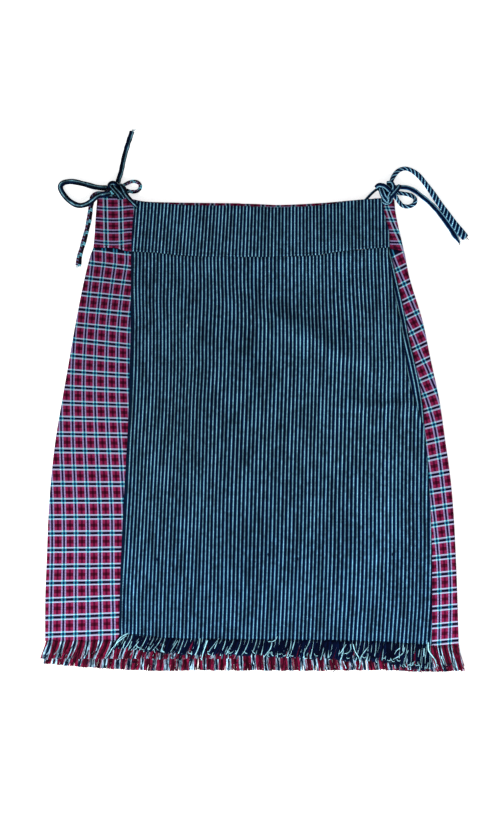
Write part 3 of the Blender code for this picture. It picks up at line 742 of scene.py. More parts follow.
# %% [markdown]
# ## Uneven dye
# Hand-dyed yarn is never one colour. One batch is darker, a thread fades
# along its length, and fine fluff greys the surface. This group gives each
# stripe its own strength, lets it swell and fade as it runs, and adds a fine
# grain over all.

# %% The uneven dye group
THREADS_APART = 7.31
SLOW_FADE, QUICK_FADE = 0.022, 0.16


def make_dye_group():
    """A strength around 1 for each counted thread, changing along it."""
    tree, recipe, source, sink = new_group(
        "Uneven dye", [("Count", 0.0), ("Along", 0.0)],
        [("Strength", "NodeSocketFloat"), ("Grain", "NodeSocketFloat")],
    )
    whole = recipe.math("ROUND", source["Count"])
    own = recipe.product(whole, THREADS_APART)
    slow = recipe.noise(own, recipe.product(source["Along"], SLOW_FADE), 1.0, 3.0)
    quick = recipe.noise(own, recipe.product(source["Along"], QUICK_FADE), 1.0, 2.0)
    both = recipe.math("MULTIPLY_ADD", quick, 0.45, recipe.product(slow, 0.55))
    recipe.feed(sink["Strength"], recipe.step(both, 0.37, 0.63, 0.5, 1.36))
    count = recipe.product(source["Count"], 3.0)
    fine = recipe.noise(count, recipe.product(source["Along"], 0.9), 1.0, 3.0)
    recipe.feed(sink["Grain"], recipe.step(fine, 0.3, 0.7, 0.74, 1.24))
    return tree


dye_group = make_dye_group()
print("Dye group:", len(dye_group.nodes), "nodes")

# %% [markdown]
# ## The striped cotton
# One repeat of the warp is a pale line of two or three threads on navy. The
# navy isn't even: it is bluish next to the line and almost black between.
# A colour ramp holds one repeat, and the fraction of the stripe count reads
# it, so the same ramp serves the apron, its waistband, the fringe and the
# ties.

# %% The striped warp group
PALE = (0.33, 0.68, 0.80)
PALE_EDGE = (0.075, 0.25, 0.37)
TEAL = (0.0022, 0.030, 0.094)
NAVY = (0.0006, 0.011, 0.058)
INK = (0.0003, 0.0022, 0.017)
TURNED_NAVY = (0.0010, 0.010, 0.034)
WARP_REPEAT = (
    (0.0, INK), (0.15, NAVY), (0.345, TEAL), (0.415, PALE_EDGE), (0.465, PALE),
    (0.545, PALE), (0.595, PALE_EDGE), (0.665, TEAL), (0.84, INK),
)


def make_warp_group():
    """Colours one repeat of the striped warp, and says where the pale line is."""
    tree, recipe, source, sink = new_group(
        "Striped warp", [("Count", 0.0), ("Along", 0.0), ("Plain", 0.0)],
        [("Color", "NodeSocketColor"), ("Pale", "NodeSocketFloat")],
    )
    shift = recipe.math("ADD", source["Count"], 0.5)
    within = recipe.math("FRACT", shift)
    colour = recipe.ramp(within, WARP_REPEAT)
    off = recipe.math("ABSOLUTE", recipe.math("SUBTRACT", within, 0.5))
    pale = recipe.step(off, 0.08, 0.18, 1.0, 0.0)
    dye = recipe.group(dye_group, Count=source["Count"], Along=source["Along"])
    strength = recipe.product(dye["Strength"], dye["Grain"])
    coloured = recipe.tint(colour, strength)
    plain = recipe.tint(TURNED_NAVY, dye["Grain"])
    recipe.feed(sink["Color"], recipe.blend(source["Plain"], coloured, plain))
    recipe.feed(sink["Pale"], pale)
    return tree


warp_group = make_warp_group()
print("Striped warp group:", len(warp_group.nodes), "nodes")

# %% [markdown]
# ## The checked cotton
# Where two bars cross, the eye mixes the two threads. White over red is
# lilac, white over navy is sky blue, and white over white almost glows. One
# group finds the bars in one direction, and a second one paints all the
# crossings.

# %% Bars in one direction
BAR_EDGE = 0.022


def make_bars_group():
    """Masks of the navy line, its two white neighbours and the dark middle."""
    tree, recipe, source, sink = new_group(
        "Bars", [("Count", 0.0), ("Navy", 0.085), ("White", 0.192), ("Dark", 0.412)],
        [("Navy", "NodeSocketFloat"), ("White", "NodeSocketFloat"), ("Dark", "NodeSocketFloat")],
    )
    within = recipe.math("FRACT", recipe.math("ADD", source["Count"], 0.5))
    away = recipe.math("ABSOLUTE", recipe.math("SUBTRACT", within, 0.5))
    for name, start, end in (("Navy", 1.0, 0.0), ("White", 1.0, 0.0), ("Dark", 0.0, 1.0)):
        low = recipe.math("SUBTRACT", source[name], BAR_EDGE)
        high = recipe.math("ADD", source[name], BAR_EDGE)
        recipe.feed(sink[name], recipe.step(away, low, high, start, end))
    return tree


bars_group = make_bars_group()
print("Bars group:", len(bars_group.nodes), "nodes")

# %% The crossings
RED = (0.300, 0.016, 0.086)
WINE = (0.100, 0.004, 0.026)
RED_NAVY = (0.009, 0.004, 0.036)
LILAC = (0.41, 0.33, 0.63)
BLACK_RED = (0.004, 0.003, 0.022)
SKY = (0.034, 0.27, 0.46)
DEEP = (0.001, 0.012, 0.070)
PALE_PINK = (0.50, 0.52, 0.80)
GLOW = (0.54, 1.0, 1.0)
MIDDLE_BLUE = (0.045, 0.36, 0.60)
DARK_FACTOR = (0.34, 0.26, 0.40)


def make_check_group():
    """Paints the check from its two bar counts."""
    tree, recipe, source, sink = new_group(
        "Checked cloth", [("Bars", 0.0), ("Crossbars", 0.0)],
        [("Color", "NodeSocketColor"), ("White", "NodeSocketFloat")],
    )
    down = recipe.group(bars_group, Count=source["Bars"])
    cross = recipe.group(
        bars_group, Count=source["Crossbars"], Navy=0.080, White=0.170, Dark=0.402,
    )
    colour = recipe.blend(cross["Dark"], RED, WINE)
    colour = recipe.blend(down["Dark"], colour, recipe.tint(colour, DARK_FACTOR))
    colour = recipe.blend(down["White"], colour, LILAC)
    colour = recipe.blend(down["Navy"], colour, RED_NAVY)
    in_navy = recipe.blend(down["White"], BLACK_RED, SKY)
    in_navy = recipe.blend(down["Navy"], in_navy, DEEP)
    in_white = recipe.blend(down["White"], PALE_PINK, GLOW)
    in_white = recipe.blend(down["Navy"], in_white, MIDDLE_BLUE)
    colour = recipe.blend(cross["White"], colour, in_white)
    colour = recipe.blend(cross["Navy"], colour, in_navy)
    recipe.feed(sink["Color"], colour)
    recipe.feed(sink["White"], recipe.math("MAXIMUM", down["White"], cross["White"]))
    return tree


check_group = make_check_group()
print("Check group:", len(check_group.nodes), "nodes")

# %% [markdown]
# ## Materials
# Cotton is matt with a soft bloom of fluff, which Blender calls sheen. Its
# values are the same all over, so they are set on the shader's own sockets.
# The colour and the bumps come from the groups.

# %% What every cotton shares
COTTON_ROUGHNESS = 0.82
COTTON_SHINE = 0.035
SHEEN = 0.012


class Cotton(Recipe):
    """The recipe of one matt cotton material."""

    def __init__(self, name):
        self.material = bpy.data.materials.new(name)
        self.material.use_nodes = True
        super().__init__(self.material.node_tree)
        self.shader = self.tree.nodes["Principled BSDF"]
        set_inputs(self.shader, {
            "Roughness": COTTON_ROUGHNESS, "Specular IOR Level": COTTON_SHINE,
            "Sheen Weight": SHEEN, "Sheen Roughness": 0.5,
        })

    def finish(self, colour, height, strength=0.7, depth=0.25):
        """Plugs in a colour and bumps, whose depth is in mm, and gives the material."""
        bump = self.node("ShaderNodeBump")
        set_inputs(bump, {"Strength": strength, "Distance": depth * MM})
        self.feed(bump.inputs["Height"], height)
        self.feed(self.shader.inputs["Base Color"], colour)
        self.feed(self.shader.inputs["Normal"], bump.outputs["Normal"])
        return self.material


print("Every cotton has a sheen of", SHEEN)

# %% Striped cotton, for the apron and its waistband
SELVEDGE = 3.0
LOWER_TINT = (0.78, 0.88, 0.98)
TINT_FROM, TINT_TO = 260.0, 480.0


def make_striped_cotton(name, with_gore):
    """Stripes by count, plain navy at the turned edge; the panel has its tapering fold, with
    painted shade along its crease and painted light and shade over the panel.
    """
    recipe = Cotton(name)
    count, along = recipe.uv("Threads")
    if with_gore:
        gore_count, past = recipe.uv("Gore")
        in_gore = recipe.step(past, -0.15, 0.15)
        count = recipe.math(
            "MULTIPLY_ADD", recipe.math("SUBTRACT", gore_count, count), in_gore, count,
        )
    plain = recipe.step(recipe.uv("Edges")[0], SELVEDGE - 0.5, SELVEDGE + 0.3, 1.0, 0.0)
    warp = recipe.group(warp_group, Count=count, Along=along, Plain=plain)
    weave = recipe.group(weave_group, Across=recipe.product(count, STRIPE_PITCH), Along=along)
    colour = recipe.tint(warp["Color"], weave["Shade"])
    if with_gore:
        # Painted shade along the crease of the tapering fold, painted light and shade over the
        # panel, and a darker, bluer tint towards the hem.
        crease_shade = recipe.step(recipe.math("ABSOLUTE", past), 0.2, 2.4, 0.45, 1.0)
        lower = recipe.step(along, TINT_FROM, TINT_TO)
        bluer = recipe.blend(lower, (1.0, 1.0, 1.0), LOWER_TINT)
        for tone in (crease_shade, recipe.uv("Wear")[0], bluer):
            colour = recipe.tint(colour, tone)
    return recipe.finish(colour, recipe.math("MULTIPLY_ADD", warp["Pale"], 0.5, weave["Height"]))


striped_cotton = make_striped_cotton("striped_cotton_panel", True)
striped_band = make_striped_cotton("striped_cotton_band", False)
print("Striped cotton:", len(striped_cotton.node_tree.nodes), "nodes")

# %% Checked cotton, for the wrap and its waistband
THREADS_PER_BAR = 14.0


def make_checked_cotton(name, bar_pitch, crossbar_pitch):
    """The check by two bar counts, with painted light that makes it paler towards the hem."""
    recipe = Cotton(name)
    bars, crossbars = recipe.uv("Threads")
    check = recipe.group(check_group, Bars=bars, Crossbars=crossbars)
    along = recipe.product(crossbars, crossbar_pitch)
    weave = recipe.group(weave_group, Across=recipe.product(bars, bar_pitch), Along=along)
    dye = recipe.group(dye_group, Count=recipe.product(bars, THREADS_PER_BAR), Along=along)
    colour = recipe.tint(check["Color"], weave["Shade"])
    colour = recipe.blend(0.6, colour, recipe.tint(colour, dye["Grain"]))
    # Painted light: the check is multiplied by its painted tone, paler on the right and towards
    # the hem.
    colour = recipe.tint(colour, recipe.uv("Wear")[0])
    return recipe.finish(colour, recipe.math("MULTIPLY_ADD", check["White"], 0.4, weave["Height"]))


checked_cotton = make_checked_cotton(
    "checked_cotton_panel", PANEL_BAR_PITCH, PANEL_CROSSBAR_PITCH,
)
checked_band = make_checked_cotton("checked_cotton_band", BAND_BAR_PITCH, BAND_CROSSBAR_PITCH)
print("Checked cotton:", len(checked_cotton.node_tree.nodes), "nodes")

# %% [markdown]
# ### Yarn for the fringes
# A fringe is made of the cloth's own warp threads, so each thread takes its
# colour from the place where it leaves the cloth. That place is stored as
# the thread's UV, and the same two groups read it. A yarn is twisted, which
# shows as slanting ridges along it.

# %% Three yarns
TWIST_PITCH = 1.1
HEM_ZONE = (518.0, 542.0)
THREADS_PER_YARN_BAR = 20.0
YARN_RED, YARN_WINE = (0.200, 0.007, 0.042), (0.045, 0.003, 0.014)
YARN_WHITE, YARN_NAVY = (0.44, 0.76, 0.98), (0.002, 0.010, 0.036)


def finish_thread(recipe, colour, low=0.75, high=1.15, depth=0.2):
    """Gives a thread its twist: slanting ridges, with a painted highlight on their crowns and
    painted shade between.
    """
    around, along = recipe.uv("Around")
    turn = recipe.product(around, 2 * math.pi)
    run = recipe.math("MULTIPLY_ADD", along, 2 * math.pi / TWIST_PITCH, turn)
    ridges = recipe.math("MULTIPLY_ADD", recipe.math("SINE", run), 0.5, 0.5)
    shade = recipe.step(ridges, 0.0, 1.0, low, high)
    return recipe.finish(recipe.tint(colour, shade), ridges, 0.8, depth)


def make_striped_yarn(name, root_tone, tip_tone):
    """Loose threads of the striped warp, with painted shade at the hem and painted light towards
    their tips.
    """
    recipe = Cotton(name)
    count, along = recipe.uv("Threads")
    warp = recipe.group(warp_group, Count=count, Along=along)
    root_shade_tip_light = recipe.step(along, *HEM_ZONE, root_tone, tip_tone)
    return finish_thread(recipe, recipe.tint(warp["Color"], root_shade_tip_light))


def make_checked_yarn():
    """Loose threads of the checked cloth."""
    recipe = Cotton("checked_warp_threads")
    count, along = recipe.uv("Threads")
    bars = recipe.group(bars_group, Count=count, Navy=0.10, White=0.185, Dark=0.38)
    colour = recipe.blend(bars["Dark"], YARN_RED, YARN_WINE)
    colour = recipe.blend(bars["White"], colour, YARN_WHITE)
    colour = recipe.blend(bars["Navy"], colour, YARN_NAVY)
    threads = recipe.product(count, THREADS_PER_YARN_BAR)
    dye = recipe.group(dye_group, Count=threads, Along=along)
    uneven = recipe.product(dye["Strength"], dye["Strength"])
    return finish_thread(recipe, recipe.tint(colour, uneven))


# The loose threads that lie on top of the fringe get a lighter copy of the same yarn: painted
# light.
striped_yarn = make_striped_yarn("striped_warp_threads", 0.85, 1.2)
bright_yarn = make_striped_yarn("loose_warp_threads", 1.2, 1.6)
checked_yarn = make_checked_yarn()
print("Yarns:", striped_yarn.name, bright_yarn.name, checked_yarn.name)

# %% [markdown]
# ### Cloth for the ties
# A tie is a narrow strip of the cloth, sewn into a tube and turned right
# side out. Cut along the warp, its pale stripes run along the tube. Cut on
# the bias, they wind round it. The strip of check shows a pair of white
# dashes every 14 mm.

# %% Four tie materials
STRIPES_ROUND = 3.0
THREADS_ROUND = 17.0
BIAS_PITCH = 5.8
BIAS_SLANT = -0.58
CHECK_THREADS_ROUND = 15.0
CHECK_ALONG = 13.8
CHECK_SLANT = 3.0
SMALL_DASH = 4.4
PAINTED_LIGHT_TIE_TINT = (1.35, 1.35, 1.42)
SHADE_PATCH_SCALE = 0.11
TIE_NIGHT, TIE_WINE = (0.004, 0.003, 0.010), (0.055, 0.003, 0.015)
TIE_LILAC, TIE_WHITE = (0.20, 0.22, 0.42), (0.20, 0.68, 0.84)
TIE_NAVY = (0.006, 0.03, 0.08)


def make_striped_tie(name, on_bias, painted_shade):
    """Stripes that run along a tube, or wind round it; one copy is darkened in patches by painted
    shade, the others lightened by painted light.
    """
    recipe = Cotton(name)
    around, along = recipe.uv("Around")
    if on_bias:
        beside = recipe.math("SINE", recipe.product(around, 2 * math.pi))
        slant = recipe.product(beside, BIAS_SLANT)
        count = recipe.math("MULTIPLY_ADD", along, 1 / BIAS_PITCH, slant)
    else:
        count = recipe.product(around, STRIPES_ROUND)
    warp = recipe.group(warp_group, Count=count, Along=along)
    weave = recipe.group(weave_group, Across=recipe.product(around, THREADS_ROUND), Along=along)
    colour = recipe.tint(warp["Color"], weave["Shade"])
    # Painted light lightens the bright and bias copies; painted shade darkens the other copy in
    # patches.
    tone = PAINTED_LIGHT_TIE_TINT
    if painted_shade:
        patches = recipe.noise(count, recipe.product(along, SHADE_PATCH_SCALE), 1.0)
        tone = recipe.step(patches, 0.38, 0.62, 0.20, 0.9)
    return recipe.finish(recipe.tint(colour, tone), weave["Height"], 0.6)


def make_checked_tie():
    """Check rolled into a tube: wine on one side, near black on the other, with dashes."""
    recipe = Cotton("checked_tie_cloth")
    around, along = recipe.uv("Around")
    side = recipe.math("SINE", recipe.product(around, 2 * math.pi))
    on_left = recipe.step(side, -0.3, 0.3)
    colour = recipe.blend(on_left, TIE_NIGHT, TIE_WINE)
    slant = recipe.math("MULTIPLY_ADD", around, CHECK_SLANT, along)
    small = recipe.group(bars_group, Count=recipe.product(slant, 1 / SMALL_DASH), White=0.19)
    large = recipe.group(bars_group, Count=recipe.product(slant, 1 / CHECK_ALONG), White=0.125)
    lilac = recipe.product(small["White"], recipe.product(on_left, 0.75))
    bright = recipe.product(large["White"], recipe.math("MULTIPLY_ADD", on_left, -0.45, 1.1))
    colour = recipe.blend(lilac, colour, TIE_LILAC)
    colour = recipe.blend(recipe.math("MINIMUM", bright, 1.0), colour, TIE_WHITE)
    colour = recipe.blend(recipe.product(large["Navy"], 0.5), colour, TIE_NAVY)
    across = recipe.product(around, CHECK_THREADS_ROUND)
    weave = recipe.group(weave_group, Across=across, Along=along)
    return recipe.finish(recipe.tint(colour, weave["Shade"]), weave["Height"], 0.6)


# The straight cloth is a copy darkened by painted shade; the bright and bias cloths are lightened
# by painted light.
TIE_CLOTHS = {
    "straight": make_striped_tie("striped_tie_cloth", False, True),
    "bright": make_striped_tie("bright_striped_tie_cloth", False, False),
    "bias": make_striped_tie("bias_tie_cloth", True, False),
    "checked": make_checked_tie(),
}
print("Tie cloths:", *(material.name for material in TIE_CLOTHS.values()))

# %% [markdown]
# ## Cords: the ties
# The ties come before the cloth, because their length and lay are checked
# against the solids. Each is a tube swept along a smooth curve through the
# same points as its solid. A round pipe would look like rubber hose, so the
# section is a little flat and its width wanders.

# %% Tubes and threads gathered into one mesh
SPREAD_ONLY = 1.15


def new_piece(name, points, faces, maps, materials):
    """A smooth mesh in the scene; each of its maps is a name and a list of places."""
    mesh = bpy.data.meshes.new(name)
    mesh.from_pydata(points, [], faces)
    for layer_name, places in maps:
        layer = mesh.uv_layers.new(name=layer_name)
        layer.data.foreach_set("uv", [part for spot in places for part in spot])
    mesh.polygons.foreach_set("use_smooth", [True] * len(faces))
    for material in materials:
        mesh.materials.append(material)
    return link_object(name, mesh)


class Bundle:
    """Tubes gathered into one mesh, with the maps Threads and Around."""

    def __init__(self):
        self.points, self.faces, self.slots = [], [], []
        self.threads, self.around = [], []

    def add_tube(self, path, radius, sides=8, turn=0.0, flat=1.0, count=None, slot=0, start=0.0,
                 spreads=False):
        """Sweeps a section along a path; radius is a number or a function of share.

        Past SPREAD_ONLY times its first width a tube that spreads stands no higher.
        """
        first = len(self.points)
        frames = section_frames(path)
        run = [start]
        for a, b in zip(path, path[1:]):
            run.append(run[-1] + (b - a).length)
        total = max(run[-1] - start, 1e-6)
        for (point, beside, upward), along in zip(frames, run):
            half = radius((along - start) / total) if callable(radius) else radius
            rise = flat * (min(half, SPREAD_ONLY * radius(0.0)) if spreads else half)
            for i in range(sides):
                angle = 2 * math.pi * (i / sides + turn)
                offset = beside * math.sin(angle) * half + upward * math.cos(angle) * rise
                self.points.append(point + offset)
        for ring in range(len(path) - 1):
            low, high = first + ring * sides, first + (ring + 1) * sides
            for i in range(sides):
                after = (i + 1) % sides
                face = (low + i, low + after, high + after, high + i)
                around = (i / sides, (i + 1) / sides, (i + 1) / sides, i / sides)
                along = (run[ring], run[ring], run[ring + 1], run[ring + 1])
                self.add_face(face, around, along, count, slot)
        for ring, step in ((0, -1), (len(path) - 1, 1)):
            corners = [first + ring * sides + i for i in range(sides)]
            if step < 0:
                corners.reverse()
            self.add_face(corners, [0.5] * sides, [run[ring]] * sides, count, slot)

    def add_face(self, face, around, along, count, slot):
        """One face with its two maps."""
        self.faces.append(tuple(face))
        self.slots.append(slot)
        for a, b in zip(around, along):
            self.around.append((a, b))
            self.threads.append((a if count is None else count, b))

    def make(self, name, materials):
        """Turns what was gathered into one object."""
        made = new_piece(
            name, [point * MM for point in self.points], self.faces,
            (("Threads", self.threads), ("Around", self.around)), materials,
        )
        made.data.polygons.foreach_set("material_index", self.slots)
        made.data.update()
        return made


def section_frames(path):
    """For each point of a path: the point, a direction beside it and one above it."""
    frames = []
    upward = Vector((0, 0, 1))
    for i, point in enumerate(path):
        ahead = path[min(i + 1, len(path) - 1)] - path[max(i - 1, 0)]
        ahead.normalize()
        upward = upward - ahead * upward.dot(ahead)
        if upward.length < 1e-4:
            upward = ahead.orthogonal()
        upward.normalize()
        frames.append((point, ahead.cross(upward), upward.copy()))
    return frames


def lie(across, down, height):
    """A point in Blender's directions, still in millimetres."""
    return Vector((across - ORIGIN_ACROSS, ORIGIN_DOWN - down, height))


FINE_SAMPLES = 20


def curve_through(route):
    """A fine run of points on a smooth curve through a route's points."""
    points = [Vector(point) for point in route]
    points = [2 * points[0] - points[1], *points, 2 * points[-1] - points[-2]]
    fine = []
    for before, start, end, after in zip(points, points[1:], points[2:], points[3:]):
        for sample in range(FINE_SAMPLES):
            t = sample / FINE_SAMPLES
            fine.append(0.5 * (
                2 * start + (end - before) * t
                + (2 * before - 5 * start + 4 * end - after) * t * t
                + (3 * start - before - 3 * end + after) * t ** 3
            ))
    fine.append(points[-2])
    return fine


def evened(fine, step):
    """The same run of points at an even step."""
    total = sum((b - a).length for a, b in zip(fine, fine[1:]))
    count = max(3, round(total / step))
    kept, walked = [fine[0].copy()], 0.0
    for a, b in zip(fine, fine[1:]):
        length = (b - a).length
        while len(kept) < count and walked + length >= total * len(kept) / count:
            share = (total * len(kept) / count - walked) / length
            kept.append(a.lerp(b, share))
        walked += length
    kept.append(fine[-1].copy())
    return kept


print("Tubes ready")

# %% Where the ties run
Knot = namedtuple("Knot", "across down height half_across half_down half_height")
Tie = namedtuple("Tie", "name diameter knot seat cloth turn far_end route")
LEFT_KNOT = Knot(-162.6, -19.6, 6.2, 11.6, 7.0, 4.2)
RIGHT_KNOT = Knot(160.8, -17.6, 6.2, 12.4, 7.2, 4.2)
TIES = (
    Tie("left_long_loop", 5.4, LEFT_KNOT, 2.5, "straight", 0.04, "object", (
        (-169.2, -20.2, 5.0), (-178.8, -20.2, 4.2), (-189.6, -21.7, 2.9),
        (-203.3, -25.4, 2.9), (-217.2, -28.1, 2.9), (-227.4, -26.6, 2.9),
        (-231.2, -21.6, 2.9), (-228.0, -13.8, 2.9), (-220.2, -5.0, 2.9),
        (-210.0, 0.5, 3.6), (-200.4, 0.0, 6.2), (-192.6, -3.8, 8.6),
        (-185.4, -9.6, 8.9), (-177.6, -11.6, 8.8), (-170.4, -13.4, 7.6),
    )),
    Tie("left_short_loop", 3.6, LEFT_KNOT, 1.2, "checked", 0.0, "object", (
        (-158.4, -21.8, 5.0), (-152.2, -25.2, 3.6), (-147.4, -27.8, 2.4),
        (-141.6, -28.4, 2.1), (-136.6, -26.0, 2.1), (-135.2, -21.2, 2.1),
        (-138.6, -17.0, 2.1), (-144.4, -16.0, 2.4), (-149.6, -17.0, 3.2),
        (-156.4, -18.4, 5.0),
    )),
    Tie("left_upper_end", 5.0, LEFT_KNOT, 2.0, "straight", 0.1, "bare", (
        (-161.4, -20.4, 5.0), (-161.6, -28.4, 4.0), (-158.4, -39.6, 2.75),
        (-154.9, -56.4, 2.75), (-150.5, -72.0, 2.75), (-145.2, -88.2, 2.75),
    )),
    Tie("left_lower_end", 5.0, LEFT_KNOT, 2.5, "checked", 0.0, "bare", (
        (-169.6, -15.2, 3.4), (-178.8, -13.9, 2.7), (-187.2, -13.4, 2.7),
        (-192.3, -9.8, 2.7), (-193.6, -3.6, 2.7), (-194.8, 2.4, 2.7),
        (-195.8, 10.8, 2.7), (-197.8, 22.8, 2.7), (-201.0, 36.0, 2.7),
        (-205.0, 50.4, 2.7), (-208.4, 62.4, 2.7), (-209.6, 72.6, 2.7),
    )),
    Tie("right_ring_loop", 5.0, RIGHT_KNOT, 2.6, "bias", 0.0, "object", (
        (166.0, -15.6, 5.0), (174.6, -14.4, 3.2), (181.2, -13.6, 2.8),
        (189.0, -11.8, 2.8), (194.6, -7.4, 2.8), (193.6, -1.6, 2.8),
        (186.8, 1.8, 2.8), (179.4, 0.6, 2.8), (174.9, -4.2, 3.0),
        (170.4, -9.6, 6.0), (164.0, -12.6, 7.0),
    )),
    Tie("right_bias_end", 5.6, RIGHT_KNOT, 1.5, "bias", 0.0, "bare", (
        (164.6, -20.4, 6.0), (165.8, -27.6, 4.4), (168.5, -34.1, 3.1),
        (174.0, -40.8, 3.1), (181.9, -43.7, 3.1), (190.2, -41.5, 3.1),
        (198.6, -35.4, 3.1), (205.8, -27.0, 3.1), (213.0, -17.4, 3.1),
        (227.4, 3.6, 3.1), (242.4, 24.0, 3.1), (255.0, 39.6, 3.1),
    )),
    Tie("right_plain_end", 4.6, RIGHT_KNOT, 1.4, "bright", 0.9, "bare", (
        (168.0, -20.4, 5.0), (177.6, -21.4, 3.0), (186.0, -20.6, 2.6),
        (193.8, -17.2, 2.6), (201.6, -11.3, 2.6), (212.4, -2.4, 2.6),
        (224.4, 10.6, 2.6), (236.4, 26.9, 2.6), (247.8, 45.0, 2.6),
    )),
)
TIE_SIDES = 16
TIE_STEP = 1.2
TIE_SPREAD = {"straight": 1.2, "bright": 1.2, "checked": 1.2, "bias": 1.0}
TIE_FLAT = {"straight": 0.78, "bright": 0.78, "checked": 0.78, "bias": 0.95}


def clear_of_knot(fine, knot, clearance):
    """Keep the points of a run that lie outside a knot's core."""
    centre = Vector((knot.across, knot.down, knot.height))
    reach = (knot.half_across + clearance, knot.half_down + clearance,
             knot.half_height + clearance)
    return [
        point for point in fine
        if sum(((point[i] - centre[i]) / reach[i]) ** 2 for i in range(3)) > 1
    ]


def tie_radius(tie, chance):
    """The half width of a tie along its length, for a hand-turned tube."""
    waves = [(chance.uniform(3, 9), chance.uniform(0, 6.3)) for _ in range(3)]

    def half(share):
        wander = sum(math.sin(share * pace * 6.283 + at) for pace, at in waves)
        width = tie.diameter / 2 * TIE_SPREAD[tie.cloth] * (1 + 0.03 * wander)
        if tie.name == "right_bias_end":
            width *= 0.92 + 0.76 * smooth((share - 0.1) / 0.95)
        if tie.name == "right_plain_end":
            width *= 1 + 0.22 * smooth((share - 0.4) / 0.4)
            width *= 1 - 0.5 * smooth((share - 0.9) / 0.1)
        if tie.name == "left_lower_end":
            width *= 1 + 0.12 * smooth((share - 0.8) / 0.2)
        return width

    return half


def make_tie(tie, number):
    """One free loop or end of a tie, as a tube."""
    chance = random.Random(500 + number)
    fine = clear_of_knot(curve_through(tie.route), tie.knot, tie.seat - 1.2)
    path = [lie(*point) for point in evened(fine, TIE_STEP)]
    bundle = Bundle()
    bundle.add_tube(
        path, tie_radius(tie, chance), TIE_SIDES, tie.turn, TIE_FLAT[tie.cloth], spreads=True,
    )
    made = bundle.make(tie.name + "_cloth", [TIE_CLOTHS[tie.cloth]])
    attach(made, "root")
    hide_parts(tie.name)
    return made


ties = [make_tie(tie, number) for number, tie in enumerate(TIES)]

# %% [markdown]
# ## The knots
# Seen from above, a knot is a few short stretches of tube that dive under
# each other. It isn't needed to tie it truly: each stretch is placed as it
# shows, arched over a small core, with both its ends tucked inside. The
# stretches that lead to the waistbands belong here too.

# %% Stretches of the left knot and of the right knot
Stretch = namedtuple("Stretch", "diameter cloth turn route")
LEFT_STRETCHES = [Stretch(*row) for row in (
    (5.0, "straight", 0.42, (
        (-173.0, -19.0, 4.4), (-171.2, -24.4, 6.8), (-166.4, -25.6, 8.0),
        (-162.0, -22.0, 7.6), (-160.0, -18.0, 5.4),
    )),
    (4.6, "checked", 0.12, (
        (-173.4, -18.4, 4.8), (-170.0, -16.6, 7.8), (-167.6, -12.6, 7.6), (-166.8, -9.4, 4.6),
    )),
    (5.0, "straight", 0.0, (
        (-171.2, -22.4, 5.2), (-168.4, -18.6, 8.8), (-164.4, -13.8, 9.4),
        (-161.4, -10.2, 7.4), (-160.4, -8.0, 4.6),
    )),
    (5.0, "straight", 0.0, (
        (-166.4, -22.6, 6.0), (-163.4, -18.0, 9.8), (-159.2, -13.6, 10.0),
        (-156.4, -10.2, 7.4), (-155.6, -8.2, 4.6),
    )),
    (5.4, "straight", 0.04, (
        (-158.4, -23.4, 5.0), (-155.4, -18.0, 8.8), (-151.8, -11.4, 9.0),
        (-146.8, -5.2, 8.4), (-141.4, 0.2, 7.8), (-138.4, 3.0, 6.6),
    )),
    (5.6, "straight", 0.4, (
        (-177.4, -12.0, 3.6), (-169.0, -11.6, 4.8), (-160.0, -12.4, 5.6),
        (-152.0, -15.0, 5.4), (-149.0, -17.0, 4.2),
    )),
)]
RIGHT_STRETCHES = [Stretch(*row) for row in (
    (3.4, "straight", 0.45, (
        (156.0, -18.4, 6.0), (148.8, -18.4, 5.6), (142.2, -13.4, 5.3), (136.4, -7.2, 5.2),
        (133.6, -4.6, 4.6),
    )),
    (5.8, "bright", 0.06, (
        (147.6, -20.4, 6.0), (150.6, -22.6, 8.6), (156.4, -21.4, 10.0),
        (161.6, -17.4, 10.6), (165.0, -12.4, 9.4), (165.6, -8.6, 6.4),
    )),
    (5.4, "bright", 0.96, (
        (161.0, -25.6, 5.2), (165.4, -25.4, 8.2), (167.6, -20.8, 9.4),
        (166.6, -15.4, 8.6), (163.4, -11.0, 5.6),
    )),
    (5.4, "bright", 0.05, (
        (175.4, -22.6, 4.6), (172.8, -18.0, 8.4), (168.4, -12.8, 9.8),
        (163.8, -8.0, 9.2), (161.0, -5.0, 5.4),
    )),
    (5.4, "bright", 0.10, (
        (152.8, -20.0, 5.0), (153.6, -13.6, 8.2), (156.2, -7.4, 9.4),
        (159.6, -3.0, 9.4), (162.6, -0.6, 8.2),
    )),
    (4.8, "bright", 0.0, (
        (163.4, -16.0, 6.4), (162.6, -9.6, 10.0), (161.4, -3.8, 10.4), (160.6, 0.4, 8.4),
    )),
    (4.6, "bright", 0.08, (
        (155.6, -2.6, 8.0), (158.0, -0.4, 9.4), (161.0, -0.4, 9.4), (164.0, -2.8, 8.6),
        (165.6, -8.0, 7.4),
    )),
    (8.4, "straight", 0.5, (
        (157.6, -16.0, 5.6), (159.0, -10.0, 6.6), (160.6, -4.6, 6.8), (161.0, -2.4, 6.8),
    )),
    (4.2, "bright", 0.0, (
        (154.2, -21.0, 7.0), (155.8, -14.6, 10.6), (158.2, -9.0, 10.8), (162.4, -4.8, 9.2),
    )),
    (4.4, "bright", 0.03, (
        (168.0, -19.6, 8.6), (164.2, -14.2, 10.6), (161.2, -8.0, 10.8), (160.4, -2.0, 9.2),
    )),
)]


def make_core(bundle, knot, share, slot):
    """The hidden middle of a knot, so that no light shows through."""
    path = [
        lie(knot.across + (i / 4 - 1) * knot.half_across * share, knot.down, knot.height - 0.6)
        for i in range(9)
    ]

    def half(along):
        return max(knot.half_down * share * math.sqrt(max(1 - (2 * along - 1) ** 2, 0.02)), 0.4)

    bundle.add_tube(path, half, 16, 0.5, knot.half_height / knot.half_down, None, slot)


